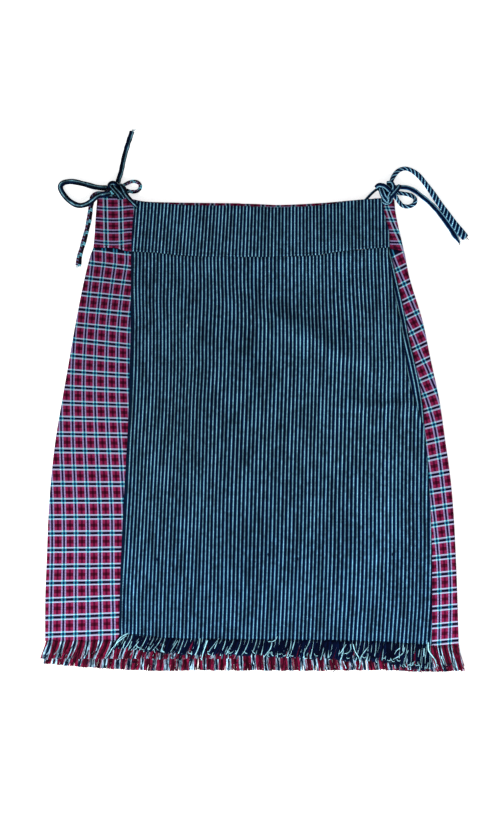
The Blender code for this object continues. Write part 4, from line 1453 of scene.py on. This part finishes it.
def make_knot(name, knot, stretches, core_share):
    """All the stretches of one knot as one piece."""
    bundle = Bundle()
    cloths = ("straight", "bright", "checked")
    make_core(bundle, knot, core_share, 0)
    for number, stretch in enumerate(stretches):
        path = [lie(*point) for point in evened(curve_through(stretch.route), 0.9)]
        bundle.add_tube(
            path, stretch.diameter / 2, 14, stretch.turn, 0.9,
            slot=cloths.index(stretch.cloth), start=number * 3.3,
        )
    made = bundle.make(name + "_wraps", [TIE_CLOTHS[cloth] for cloth in cloths])
    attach(made, "root")
    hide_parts(name)
    print(name, "has", len(stretches), "stretches")


make_knot("left_knot", LEFT_KNOT, LEFT_STRETCHES, 0.92)
make_knot("right_knot", RIGHT_KNOT, RIGHT_STRETCHES, 0.9)

# %% [markdown]
# ## Cloth as a grid
# A woven cloth is a grid already, so it is modelled as one: rows of points
# down the garment, columns across it, with a thickness added by Blender's
# Solidify modifier. The points lie a few millimetres apart, which is fine
# enough for soft folds. The maps of the threads are laid on the same grid.

# %% From rows of points to a piece of cloth
Spot = namedtuple("Spot", "across down height maps")
WELD = 0.01 * MM


def cloth_from_grids(name, grids, thickness, material, layer_names):
    """Joins grids of spots edge to edge into one piece of cloth."""
    points, faces, maps = [], [], []
    for rows in grids:
        first = len(points)
        width = len(rows[0])
        for row in rows:
            points.extend(place(spot.across, spot.down, spot.height) for spot in row)
        for i in range(len(rows) - 1):
            for j in range(width - 1):
                corners = ((i, j), (i + 1, j), (i + 1, j + 1), (i, j + 1))
                faces.append([first + row * width + column for row, column in corners])
                maps.extend(rows[row][column].maps for row, column in corners)
    layers = zip(layer_names, zip(*maps))
    made = new_piece(name, points, faces, layers, [material])
    if len(grids) > 1:
        weld = bmesh.new()
        weld.from_mesh(made.data)
        bmesh.ops.remove_doubles(weld, verts=weld.verts, dist=WELD)
        weld.to_mesh(made.data)
        weld.free()
    wall = made.modifiers.new("Cloth thickness", "SOLIDIFY")
    wall.thickness = thickness * MM
    wall.offset = 0.0
    print(name, "has", len(faces), "faces")
    return made


def spaced(length, step, close):
    """Shares from 0 to 1 at an even step, with close ones at both ends."""
    ends = [distance / length for distance in close]
    last = ends[-1]
    count = max(2, round(length * (1 - 2 * last) / step))
    middle = [last + (1 - 2 * last) * i / count for i in range(count + 1)]
    return ends[:-1] + middle + [1 - end for end in reversed(ends[:-1])]


print("Steps over 20 mm:", len(spaced(20, 2.5, (0, 0.5, 1.2))))

# %% [markdown]
# ## The apron
# The apron is one panel. Its left edge is turned under, which shows as a
# narrow plain strip that is a little thicker. On the right a tapering fold
# takes in the waist: stripes on its far side follow the slanted edge, and
# meet the straight ones in a long V.

# %% The apron's panel
TURNED_EDGE = 4.4
TURNED_RISE = 0.4
EDGE_STEPS = (0, 0.4, 1.0, 2.0, 3.0, 3.8, 4.4, 5.0, 6.0)
APRON_STEP_ACROSS = 2.5
APRON_STEP_DOWN = 2.7
PANEL_FROM, PANEL_LONG, PANEL_WIDE = 58, 465, 340
ROUGH_SIDES = (-150, 180)


def turned_edge(distance):
    """How a turned edge stands up: rounded outside, a small step inside."""
    outside = smooth(distance / 1.2)
    inside = 1 - smooth((distance - TURNED_EDGE + 0.6) / 0.9)
    return TURNED_RISE * outside * inside - 0.25 * (1 - outside)


def apron_spot(t, share, top, bottom):
    """One spot of the apron, at a share across and a share down."""
    across = mix(*ROUGH_SIDES, t)
    for _ in range(3):
        start = top(across)
        down = start + share * (bottom(across) - start)
        left, right = APRON_LEFT(down), APRON_RIGHT(down)
        across = left + t * (right - left)
    return across, down, left, right


def apron_panel_rows():
    """Rows of spots of the apron's panel, with its three maps and its painted light and shade."""
    columns = spaced(PANEL_WIDE, APRON_STEP_ACROSS, EDGE_STEPS)
    rows = []
    for share in spaced(PANEL_LONG, APRON_STEP_DOWN, (0, 0.6, 1.4, 2.4)):
        drift = apron_drift(PANEL_FROM + share * PANEL_LONG)
        row = []
        for t in columns:
            across, down, left, right = apron_spot(
                t, share, lambda a: APRON_SEAM(a) + GAP / 2, HEM_APRON,
            )
            to_edge = min(across - left, right - across)
            row.append(Spot(across, down, apron_height(across, down) + turned_edge(to_edge), (
                (STRIPE_COUNT(across) + drift(across), down), gore_map(across, down),
                (across - left, right - across), (painted_light_and_shade(across, down), 0.0),
            )))
        rows.append(row)
    return rows


apron_cloth = cloth_from_grids(
    "apron_cloth", [apron_panel_rows()], WALL, striped_cotton,
    ("Threads", "Gore", "Edges", "Wear"),
)
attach(apron_cloth, "root")
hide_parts("apron_panel")

# %% The apron's waistband, a strip folded over
BAND_LAYER = 0.94
BAND_LONG, BAND_WIDE = 60, 310
BAND_STRIPE_PITCH = 4.16
BAND_LEAN = curve(((-150, 0.075), (-60, 0.07), (0, 0.035), (60, 0.0), (160, -0.01)))


def band_profile(step):
    """Round a folded strip: (share down, offset, lift of the fold), front first."""
    half = BAND / 4
    count = round(BAND_LONG / step)
    profile = [(1 - i / count, half, 0.0) for i in range(count)]
    for i in range(7):
        angle = math.pi * i / 6
        profile.append((0.0, half * math.cos(angle), half * math.sin(angle)))
    profile.extend(((i / 10), -half, 0.0) for i in range(1, 11))
    return profile


def rounded_end(share):
    """Draws a strip's layers together just above its seam."""
    return 0.3 * math.exp(-(((1 - share) * BAND_LONG / 1.3) ** 2))


def apron_band_rows():
    """Rows of spots of the apron's waistband."""
    columns = spaced(BAND_WIDE, APRON_STEP_ACROSS, (0, 0.4, 1.0, 2.0, 3.0, 4.0))
    rows = []
    for share, offset, lift in band_profile(2.4):
        row = []
        for t in columns:
            across, down, left, right = apron_spot(
                t, share, lambda a: APRON_TOP(a) + 1.8, lambda a: APRON_SEAM(a) - GAP / 2,
            )
            sway = 0.25 * math.sin(across / 17 + 1.1) + 0.2 * math.sin(across / 7.3 + down / 9)
            height = APRON_BAND + offset * (1 - rounded_end(share)) + sway * (offset > 0)
            count = (across - BAND_LEAN(across) * (30 - down)) / BAND_STRIPE_PITCH
            maps = ((count, down), (across - left + 2.0, right - across))
            row.append(Spot(across, down - lift, height, maps))
        rows.append(row)
    return rows


apron_band_cloth = cloth_from_grids(
    "apron_band_cloth", [apron_band_rows()], BAND_LAYER, striped_band, ("Threads", "Edges"),
)
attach(apron_band_cloth, "root")
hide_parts("apron_waistband")

# %% [markdown]
# ## The wrap
# The wrap goes all the way round: a wide flap on the left, the back, and a
# narrow flap on the right. Walking round it at one level gives a path, and
# stacking those paths gives the cloth. Each flap keeps its own map of the
# check, and the two meet the back's map at the side folds.

# %% One path round the wrap
FOLD_STEPS = 8
LEFT_COLUMNS = 84
BACK_COLUMNS = 96
RIGHT_COLUMNS = 26
WRAP_STEP_DOWN = 3.0
WRAP_LONG = 470
WRAP_SIDES = (-220, 215)
LEFT_EASE, RIGHT_EASE = 1.25, 1.1
Turn = namedtuple("Turn", "across down height lay out_across out_height")


def wrap_path(share, top, hems, half, back_height, front_height):
    """Three runs round the wrap at one level: left flap, back, right flap.

    Each place has its lay, the across that it would have if the cloth lay
    open, and the direction that points out of the cloth.
    """
    hem_left, hem_back, hem_right = hems

    def down_at(across, hem):
        start = top(across)
        return start + share * (hem(across) - start)

    def turn(outer, direction):
        down = down_at(outer, hem_back)
        top_height = front_height(outer + direction * half, down)
        radius = (top_height - back_height) / 2
        centre = outer + direction * radius
        spots = []
        for step in range(FOLD_STEPS + 1):
            angle = math.pi * (0.5 - step / FOLD_STEPS)
            arc = radius * math.pi * step / FOLD_STEPS
            spots.append(Turn(
                centre - direction * radius * math.cos(angle), down,
                back_height + radius + radius * math.sin(angle),
                centre - direction * arc, -direction * math.cos(angle), math.sin(angle),
            ))
        return spots

    outer_left = WRAP_LEFT(down_at(WRAP_SIDES[0], hem_back)) + half
    outer_right = WRAP_RIGHT(down_at(WRAP_SIDES[1], hem_back)) - half
    left_turn, right_turn = turn(outer_left, 1), turn(outer_right, -1)
    middle = FOLD_STEPS // 2

    def flap(inner, outer, hem, count, ease):
        spots = []
        for step in range(count):
            t = 1 - (1 - step / count) ** ease
            across = inner + t * (outer - inner)
            down = down_at(across, hem)
            spots.append(Turn(across, down, front_height(across, down), across, 0, 1))
        return spots

    left = flap(WRAP_INNER_LEFT, left_turn[0].across, hem_left, LEFT_COLUMNS, LEFT_EASE)
    left += left_turn[:middle + 1]
    back_start, back_end = left_turn[-1].across, right_turn[-1].across
    back = [spot._replace(lay=spot.across) for spot in left_turn[middle:]]
    for step in range(1, BACK_COLUMNS):
        across = mix(back_start, back_end, step / BACK_COLUMNS)
        back.append(Turn(across, down_at(across, hem_back), back_height, across, 0, -1))
    back += [spot._replace(lay=spot.across) for spot in reversed(right_turn[middle:])]
    inner = right_flap_inner(down_at(WRAP_INNER_RIGHT, hem_right))
    right = flap(inner, right_turn[0].across, hem_right, RIGHT_COLUMNS, RIGHT_EASE)
    right += right_turn[:middle + 1]
    right.reverse()
    return left, back, right


def wrap_panel_grids():
    """The three grids of the wrap's panel."""
    grids = ([], [], [])
    checks = (left_check, back_check, right_check)
    for share in spaced(WRAP_LONG, WRAP_STEP_DOWN, (0, 0.7, 1.6)):
        runs = wrap_path(
            share, lambda a: WRAP_SEAM(a) + GAP / 2, (HEM_LEFT, HEM_BACK, HEM_RIGHT),
            WALL / 2, WRAP_BACK, flap_height,
        )
        for grid, run, check in zip(grids, runs, checks):
            grid.append([
                Spot(spot.across, spot.down, spot.height, (
                    check(spot.lay, spot.down), (wrap_painted_light(spot.across, spot.down), 0.0),
                ))
                for spot in run
            ])
    return grids


wrap_cloth = cloth_from_grids(
    "wrap_cloth", wrap_panel_grids(), WALL, checked_cotton, ("Threads", "Wear"),
)
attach(wrap_cloth, "root")
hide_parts("wrap_panel")

# %% The wrap's waistband, turned a quarter and folded over


def wrap_band_grids():
    """The three grids of the wrap's waistband."""
    grids = ([], [], [])
    for share, offset, lift in band_profile(WRAP_STEP_DOWN):
        runs = wrap_path(
            share, lambda a: WRAP_TOP(a) + 0.1, (lambda a: WRAP_SEAM(a) - GAP / 2,) * 3,
            BAND / 2, BACK_BAND, lambda across, down: FRONT_BAND,
        )
        for number, (grid, run) in enumerate(zip(grids, runs)):
            row = []
            for spot in run:
                out = offset * (1 - rounded_end(share))
                lay = -spot.lay if number == 1 else spot.lay
                row.append(Spot(
                    spot.across + spot.out_across * out, spot.down - lift,
                    spot.height + spot.out_height * out,
                    (band_check(lay, spot.down), (wrap_painted_light(spot.across, spot.down), 0.0)),
                ))
            grid.append(row)
    return grids


wrap_band_cloth = cloth_from_grids(
    "wrap_band_cloth", wrap_band_grids(), BAND_LAYER, checked_band, ("Threads", "Wear"),
)
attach(wrap_band_cloth, "root")
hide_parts("wrap_waistband")

# %% [markdown]
# ## The fringes
# At each hem the crosswise threads were pulled out and the warp hangs free.
# Threads cling together in small locks that lean one way, and their cut ends
# curl. Each thread is a thin tube of its own. It starts inside the cloth,
# bends towards its lock, and ends a little above or below its neighbours.

# %% Threads along a hem
Fringe = namedtuple(
    "Fringe",
    "name first last locks threads lean_first lean_last lean_spread ragged half seed curls",
)
ROOT_INSIDE = 1.2
SHORT_SHARE, STRAY_SHARE, CURLED_SHARE = 0.10, 0.05, 0.5
CURL_HALF = 0.42


def thread_path(root, tip, root_height, tip_height, chance, curl):
    """A thread from its root to its tip, with a little waviness and a curled end."""
    path = []
    sway = chance.uniform(-0.8, 0.8)
    phase = chance.uniform(0, 6.3)
    side = chance.choice((-1, 1))
    for step in range(8):
        t = step / 7
        across = mix(root[0], tip[0], t ** 1.25) + sway * math.sin(t * 4.2 + phase) * t
        down = mix(root[1], tip[1], t)
        height = mix(root_height, tip_height, smooth(t))
        height += 0.35 * math.sin(t * 3.0 + phase) * t
        bend = smooth((t - 0.72) / 0.28) * curl
        path.append(lie(across + side * bend, down - abs(bend) * 0.35, height))
    return path


def curl_path(across, down, height, chance):
    """The loose end of one thread: it sets off down the garment and bends away."""
    heading = chance.uniform(-0.8, 0.5)
    bend = chance.uniform(0.1, 0.42) * chance.choice((-1, 1))
    pace = chance.uniform(0.5, 0.95)
    path = []
    for step in range(8):
        path.append(lie(across, down, height + 0.5 * math.sin(step * 0.45)))
        across += pace * math.sin(heading)
        down += pace * math.cos(heading)
        heading += bend
    return path


def make_fringe(fringe, hem, length, root_height, tip_height, count_at, material, replaced):
    """All the threads of one fringe as one joined mesh."""
    chance = random.Random(fringe.seed)
    bundle = Bundle()
    pitch = (fringe.last - fringe.first) / fringe.locks
    for lock in range(fringe.locks):
        share = (lock + 0.5) / fringe.locks
        lean = mix(fringe.lean_first, fringe.lean_last, share)
        lean += chance.gauss(0, fringe.lean_spread)
        middle = fringe.first + (lock + 0.5) * pitch
        lock_length = length(middle) * (1 + fringe.ragged * chance.uniform(-1, 0.4))
        gather = chance.uniform(0.85, 1.05)
        for thread in range(fringe.threads):
            offset = ((thread + chance.uniform(0.1, 0.9)) / fringe.threads - 0.5) * pitch
            across = middle + offset
            start = hem(across) - ROOT_INSIDE
            own = lock_length * (1 + fringe.ragged * chance.uniform(-0.6, 0.3))
            if chance.random() < SHORT_SHARE:
                own *= chance.uniform(0.7, 0.9)
            tip_across = middle + offset * gather + lean + chance.gauss(0, 0.7)
            stray = chance.random() < STRAY_SHARE
            if stray:
                tip_across += chance.uniform(-5, 5)
            path = thread_path(
                (across, start), (tip_across, hem(across) + own),
                root_height(across, start) + chance.uniform(-0.25, 0.3),
                tip_height + chance.uniform(-0.35, 0.5) + (0.5 if stray else 0.0),
                chance, chance.uniform(0, 1.6) if chance.random() < CURLED_SHARE else 0.0,
            )
            half = fringe.half * chance.uniform(0.8, 1.2)
            bundle.add_tube(
                path, lambda t, half=half: half * (1 - 0.12 * t), 5, 0.0,
                count=count_at(across, start), start=start,
            )
    for _ in range(fringe.curls):
        across = chance.uniform(fringe.first, fringe.last)
        down = hem(across) + length(across) * chance.uniform(0.6, 0.86)
        count = float(round(count_at(across, hem(across))))
        bundle.add_tube(
            curl_path(across, down, tip_height + 0.9, chance), CURL_HALF, 5,
            count=count, start=down,
        )
    made = bundle.make(fringe.name, [material])
    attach(made, "root")
    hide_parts(replaced)
    print(fringe.name, "has", fringe.locks * fringe.threads, "threads")
    return made


# %% The four fringes
HEM_DRIFT = apron_drift(522)
PALE_SHARE = 0.042


def apron_thread(across, down):
    """A whole number for a pale thread, and a half for a dark one."""
    count = STRIPE_COUNT(across) + HEM_DRIFT(across)
    off = count - round(count)
    return float(round(count)) if abs(off) < PALE_SHARE else math.floor(count) + 0.5 + 0.16 * off


def bars_of(check):
    """Reads a thread's colour off a map of the check."""
    return lambda across, down: check(across, down)[0]


FLAP_TIP = FLAP_FRONT - 0.05
apron_threads = make_fringe(
    Fringe("apron_fringe_threads", -160, 213, 84, 18, -9.0, -2.5, 1.7, 0.10, 0.56, 11, 46),
    HEM_APRON,
    curve((
        (-161, 17), (-100, 18), (0, 19), (60, 21.5), (160, 25), (190, 29.5), (215, 30.5),
    )),
    apron_height, APRON_HIGH - 0.35, apron_thread, striped_yarn, "apron_fringe",
)
back_threads = make_fringe(
    Fringe("back_fringe_threads", -248, 246, 92, 19, -6.0, 7.0, 0.7, 0.03, 0.60, 23, 12),
    HEM_BACK,
    curve((
        (-250, 27.5), (-150, 29.5), (-60, 26.5), (0, 25.2), (120, 25.5), (160, 27.0),
        (200, 30.5), (248, 30.5),
    )),
    lambda across, down: 0.6, 0.8, bars_of(back_check), checked_yarn, "back_fringe",
)
left_threads = make_fringe(
    Fringe("left_flap_fringe_threads", -248, -17, 44, 16, -7.0, -2.5, 1.6, 0.05, 0.55, 37, 6),
    HEM_LEFT, curve(((-250, 22), (-15, 21))), flap_height, FLAP_TIP, bars_of(left_check),
    checked_yarn, "left_flap_fringe",
)
right_threads = make_fringe(
    Fringe("right_flap_fringe_threads", 168, 247, 17, 16, 1.0, 9.0, 1.6, 0.05, 0.55, 41, 4),
    HEM_RIGHT, curve(((160, 26), (200, 30), (248, 31))), flap_height, FLAP_TIP,
    bars_of(right_check), checked_yarn, "right_flap_fringe",
)

# %% [markdown]
# ### Threads that went their own way
# The rule above makes an even fringe. What the eye keeps from the real one
# is where a thread breaks the rule: an arc at the left corner, a few that
# cross over, a thick lock at the right. These are listed one by one, as a
# maker's own list of accidents.

# %% Loose threads of the apron
Loose = namedtuple("Loose", "half count height tip_height route")
LOOSE_THREADS = [Loose(*row) for row in (
    (0.62, 4, 5.2, 4.6, ((-150.0, 513.6), (-157.8, 517.8), (-162.6, 523.2), (-165.6, 528.6))),
    (0.5, 4, 4.7, 3.2, (
        (-151.2, 516.0), (-160.8, 523.2), (-168.0, 530.4), (-171.6, 536.4), (-176.4, 543.6),
    )),
    (0.42, 6, 4.5, 3.8, ((-152.4, 522.0), (-154.8, 526.8), (-156.0, 531.6))),
    (0.46, 7, 4.5, 3.6, ((-145.2, 523.2), (-147.6, 529.2), (-149.4, 534.0))),
    (0.4, 8, 4.4, 3.6, ((-136.8, 523.2), (-141.6, 529.2), (-145.8, 534.0))),
    (0.5, 13, 4.4, 3.7, ((-106.8, 525.6), (-108.6, 530.4), (-110.4, 535.2))),
    (0.36, 16, 4.4, 3.6, ((-90.0, 522.0), (-95.4, 530.4), (-100.8, 538.8))),
    (0.7, 21, 4.6, 3.5, ((-63.6, 519.6), (-64.8, 528.0), (-67.2, 535.2), (-69.6, 540.0))),
    (0.72, 23, 4.6, 3.3, ((-54.6, 522.0), (-57.6, 530.4), (-60.0, 537.6), (-61.8, 546.0))),
    (0.36, 26, 4.4, 3.5, ((-40.8, 519.6), (-46.2, 526.8), (-54.0, 536.4))),
    (0.46, 39, 5.0, 4.4, ((28.8, 517.2), (27.0, 521.4), (22.8, 523.6), (18.0, 523.4))),
    (0.66, 38, 4.6, 3.5, ((22.8, 524.4), (21.0, 531.6), (16.8, 537.6), (12.6, 542.4))),
    (0.6, 55, 4.6, 4.0, ((111.6, 526.8), (108.0, 532.2), (105.6, 536.4), (102.6, 538.2))),
    (0.46, 56, 4.7, 4.2, ((117.0, 526.8), (117.0, 532.8), (114.0, 537.0), (109.8, 538.1))),
    (0.5, 57, 4.5, 2.4, (
        (120.0, 526.8), (122.4, 535.2), (127.2, 543.6), (128.4, 550.8), (127.2, 556.8),
    )),
    (0.42, 60, 4.5, 3.6, ((138.0, 530.4), (133.2, 536.4), (129.6, 542.4), (129.0, 548.4))),
    (0.46, 67, 4.6, 3.7, ((176.4, 531.0), (172.2, 534.6), (169.8, 538.8))),
    (0.46, 68, 4.6, 3.5, ((181.8, 530.4), (180.0, 537.0), (174.0, 541.8), (167.4, 545.4))),
    (0.42, 70, 4.4, 2.4, ((186.0, 534.0), (183.6, 542.4), (184.8, 552.0))),
    (0.48, 73, 4.4, 2.2, ((199.8, 532.8), (198.0, 542.4), (195.6, 553.2))),
    (0.48, 74, 4.4, 1.4, ((205.2, 531.6), (205.2, 541.2), (207.6, 549.6), (210.6, 556.2))),
    (0.8, 75, 4.8, 1.6, (
        (210.0, 524.4), (210.6, 534.0), (214.8, 540.6), (219.0, 546.6), (220.8, 554.4),
    )),
    (0.4, 75, 2.6, 0.9, ((220.2, 550.8), (223.2, 554.4), (225.6, 556.8))),
    (0.66, 75, 3.2, 1.2, ((225.6, 541.2), (228.6, 548.4), (230.4, 554.4), (232.0, 559.2))),
    (0.44, 73.5, 1.8, 0.6, ((199.8, 553.2), (201.0, 558.6), (202.8, 562.8))),
    (0.4, 74.5, 1.6, 0.6, ((208.8, 554.4), (209.4, 559.8))),
    (0.5, 75.5, 1.6, 0.6, ((213.6, 554.4), (213.6, 560.4))),
)]


def make_loose_threads():
    """Pale threads, and three dark ones, that lie over the fringe."""
    bundle = Bundle()
    for loose in LOOSE_THREADS:
        last = len(loose.route) - 1
        route = [
            (*spot, mix(loose.height, loose.tip_height, i / last))
            for i, spot in enumerate(loose.route)
        ]
        path = [lie(*point) for point in evened(curve_through(route), 1.0)]
        bundle.add_tube(
            path, lambda t, half=loose.half: half * (1 - 0.2 * t), 7, flat=0.8,
            count=loose.count, start=loose.route[0][1],
        )
    made = bundle.make("loose_threads", [bright_yarn])
    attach(made, "root")
    return made


loose_threads = make_loose_threads()
print("Loose threads:", len(LOOSE_THREADS))

# %% [markdown]
# ## Sewing and small marks
# The waistbands and the apron's turned edge are sewn by machine with dark
# thread. A stitch is a short thread that rises, crosses and dives again, so
# each one is a small arch. Handspun yarn has thick spots too, called slubs,
# which show as dark or pale specks. And where a tie was cut and not sewn, a
# few threads come loose.

# %% Stitches along the seams and the turned edge
STITCH_PITCH = 3.1
STITCH_LENGTH = 2.2
THREAD_HALF = 0.17
FROM_SEAM = 2.6
FROM_EDGE = 3.6
STITCH_SINK = 0.35
SEWN_STEP = 3


def make_plain_cotton(name, colour):
    """One colour of thread."""
    return finish_thread(Cotton(name), colour, 0.8, 1.2, 0.1)


dark_thread = make_plain_cotton("dark_sewing_thread", (0.003, 0.008, 0.020))
pale_thread = make_plain_cotton("pale_slub_thread", (0.30, 0.52, 0.60))


def stitch_row(bundle, spots):
    """Stitches along a row of (across, down, surface height) spots."""
    route = evened([lie(*spot) for spot in spots], STITCH_PITCH)
    rise = Vector((0, 0, THREAD_HALF * 0.9))
    sink = Vector((0, 0, -STITCH_SINK))
    for start, end in zip(route, route[1:]):
        run = (end - start).normalized() * STITCH_LENGTH
        bundle.add_tube(
            [start + run * share + shift for share, shift in (
                (0, sink), (0.12, rise), (0.5, rise), (0.88, rise), (1, sink),
            )],
            THREAD_HALF, 5,
        )


def steps(first, last):
    """Even steps from first to last, both included."""
    count = max(2, round(abs(last - first) / SEWN_STEP))
    return [mix(first, last, i / count) for i in range(count + 1)]


def sew():
    """All the machine stitching that shows."""
    bundle = Bundle()
    for seam, band, first, last in (
        (APRON_SEAM, APRON_BAND, -143, 160), (WRAP_SEAM, FRONT_BAND, -191, -148),
        (WRAP_SEAM, FRONT_BAND, 165, 178),
    ):
        stitch_row(bundle, [
            (across, seam(across) - FROM_SEAM, band + BAND / 2 + 0.02)
            for across in steps(first, last)
        ])
    edge = []
    for down in steps(62, 512):
        across = APRON_LEFT(down) + FROM_EDGE
        edge.append((across, down, apron_height(across, down) + WALL / 2 + TURNED_RISE * 0.7))
    stitch_row(bundle, edge)
    made = bundle.make("machine_stitches", [dark_thread])
    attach(made, "root")
    return made


stitches = sew()
print("Stitches:", len(stitches.data.polygons) // 22)

# %% Slubs on the apron and loose threads at the cut ends
Slub = namedtuple("Slub", "across down long half pale")
SLUBS = [Slub(*row) for row in (
    (-79, 144, 2.2, 0.8, True), (-115, 425, 2.6, 0.7, False), (-97, 440, 2.4, 0.8, False),
    (2.4, 428, 2.6, 0.9, False), (18, 419, 2.2, 0.8, False), (54, 425, 2.4, 0.8, False),
    (186, 361, 2.4, 0.8, False), (191, 414, 2.8, 0.9, False), (167, 419, 2.4, 0.8, False),
    (14, 97, 2.2, 0.7, False),
)]


def make_slubs():
    """Thick spots of yarn that lie on the weave."""
    bundle = Bundle()
    for slub in SLUBS:
        top = apron_height(slub.across, slub.down) + WALL / 2 - 0.1
        path = [
            lie(slub.across, slub.down + (i / 6 - 0.5) * slub.long * 2, top) for i in range(7)
        ]
        bundle.add_tube(
            path, lambda t, half=slub.half: max(half * math.sin(math.pi * t), 0.12), 8,
            flat=0.5, slot=1 if slub.pale else 0,
        )
    made = bundle.make("slubs", [dark_thread, pale_thread])
    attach(made, "root")


Frayed = namedtuple("Frayed", "across down height ahead_across ahead_down spread threads seed")
FRAYED_ENDS = (
    Frayed(-145.2, -88.2, 2.75, 4.0, -5.0, 2.2, 11, 61),
    Frayed(-209.6, 72.6, 2.7, -0.8, 5.0, 3.0, 12, 62),
    Frayed(255.0, 39.6, 3.1, 2.0, 4.2, 3.4, 13, 63),
    Frayed(247.8, 45.0, 2.6, 3.2, 5.2, 1.4, 7, 64),
)


def make_frayed_ends():
    """A few loose threads at each cut end of a tie."""
    bundle = Bundle()
    for end in FRAYED_ENDS:
        chance = random.Random(end.seed)
        for _ in range(end.threads):
            side = chance.uniform(-1, 1)
            reach = chance.uniform(0.35, 1.0)
            start = (
                end.across - end.ahead_across * 0.3 + side * end.spread * 0.5,
                end.down - end.ahead_down * 0.3, end.height + chance.uniform(-1.2, 1.2),
            )
            tip = (
                start[0] + end.ahead_across * reach + side * end.spread * reach * 0.7,
                start[1] + end.ahead_down * reach, max(0.5, end.height - 1.6 * reach),
            )
            path = [
                lie(*(mix(a, b, i / 5) for a, b in zip(start, tip)))
                + Vector((0.5 * math.sin(i * 1.2 + side * 3), 0, 0)) * (i / 5)
                for i in range(6)
            ]
            bundle.add_tube(path, 0.24, 5, slot=1 if chance.random() < 0.35 else 0)
    made = bundle.make("frayed_tie_ends", [dark_thread, pale_thread])
    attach(made, "root")


make_slubs()
make_frayed_ends()
print("Slubs:", len(SLUBS), "and frayed ends:", len(FRAYED_ENDS))

# %% [markdown]
# ## The count of ties
# The script ends by counting the ties. The waistbands are strips folded
# double.

print("Four sheets and", len(ties), "cords declared")
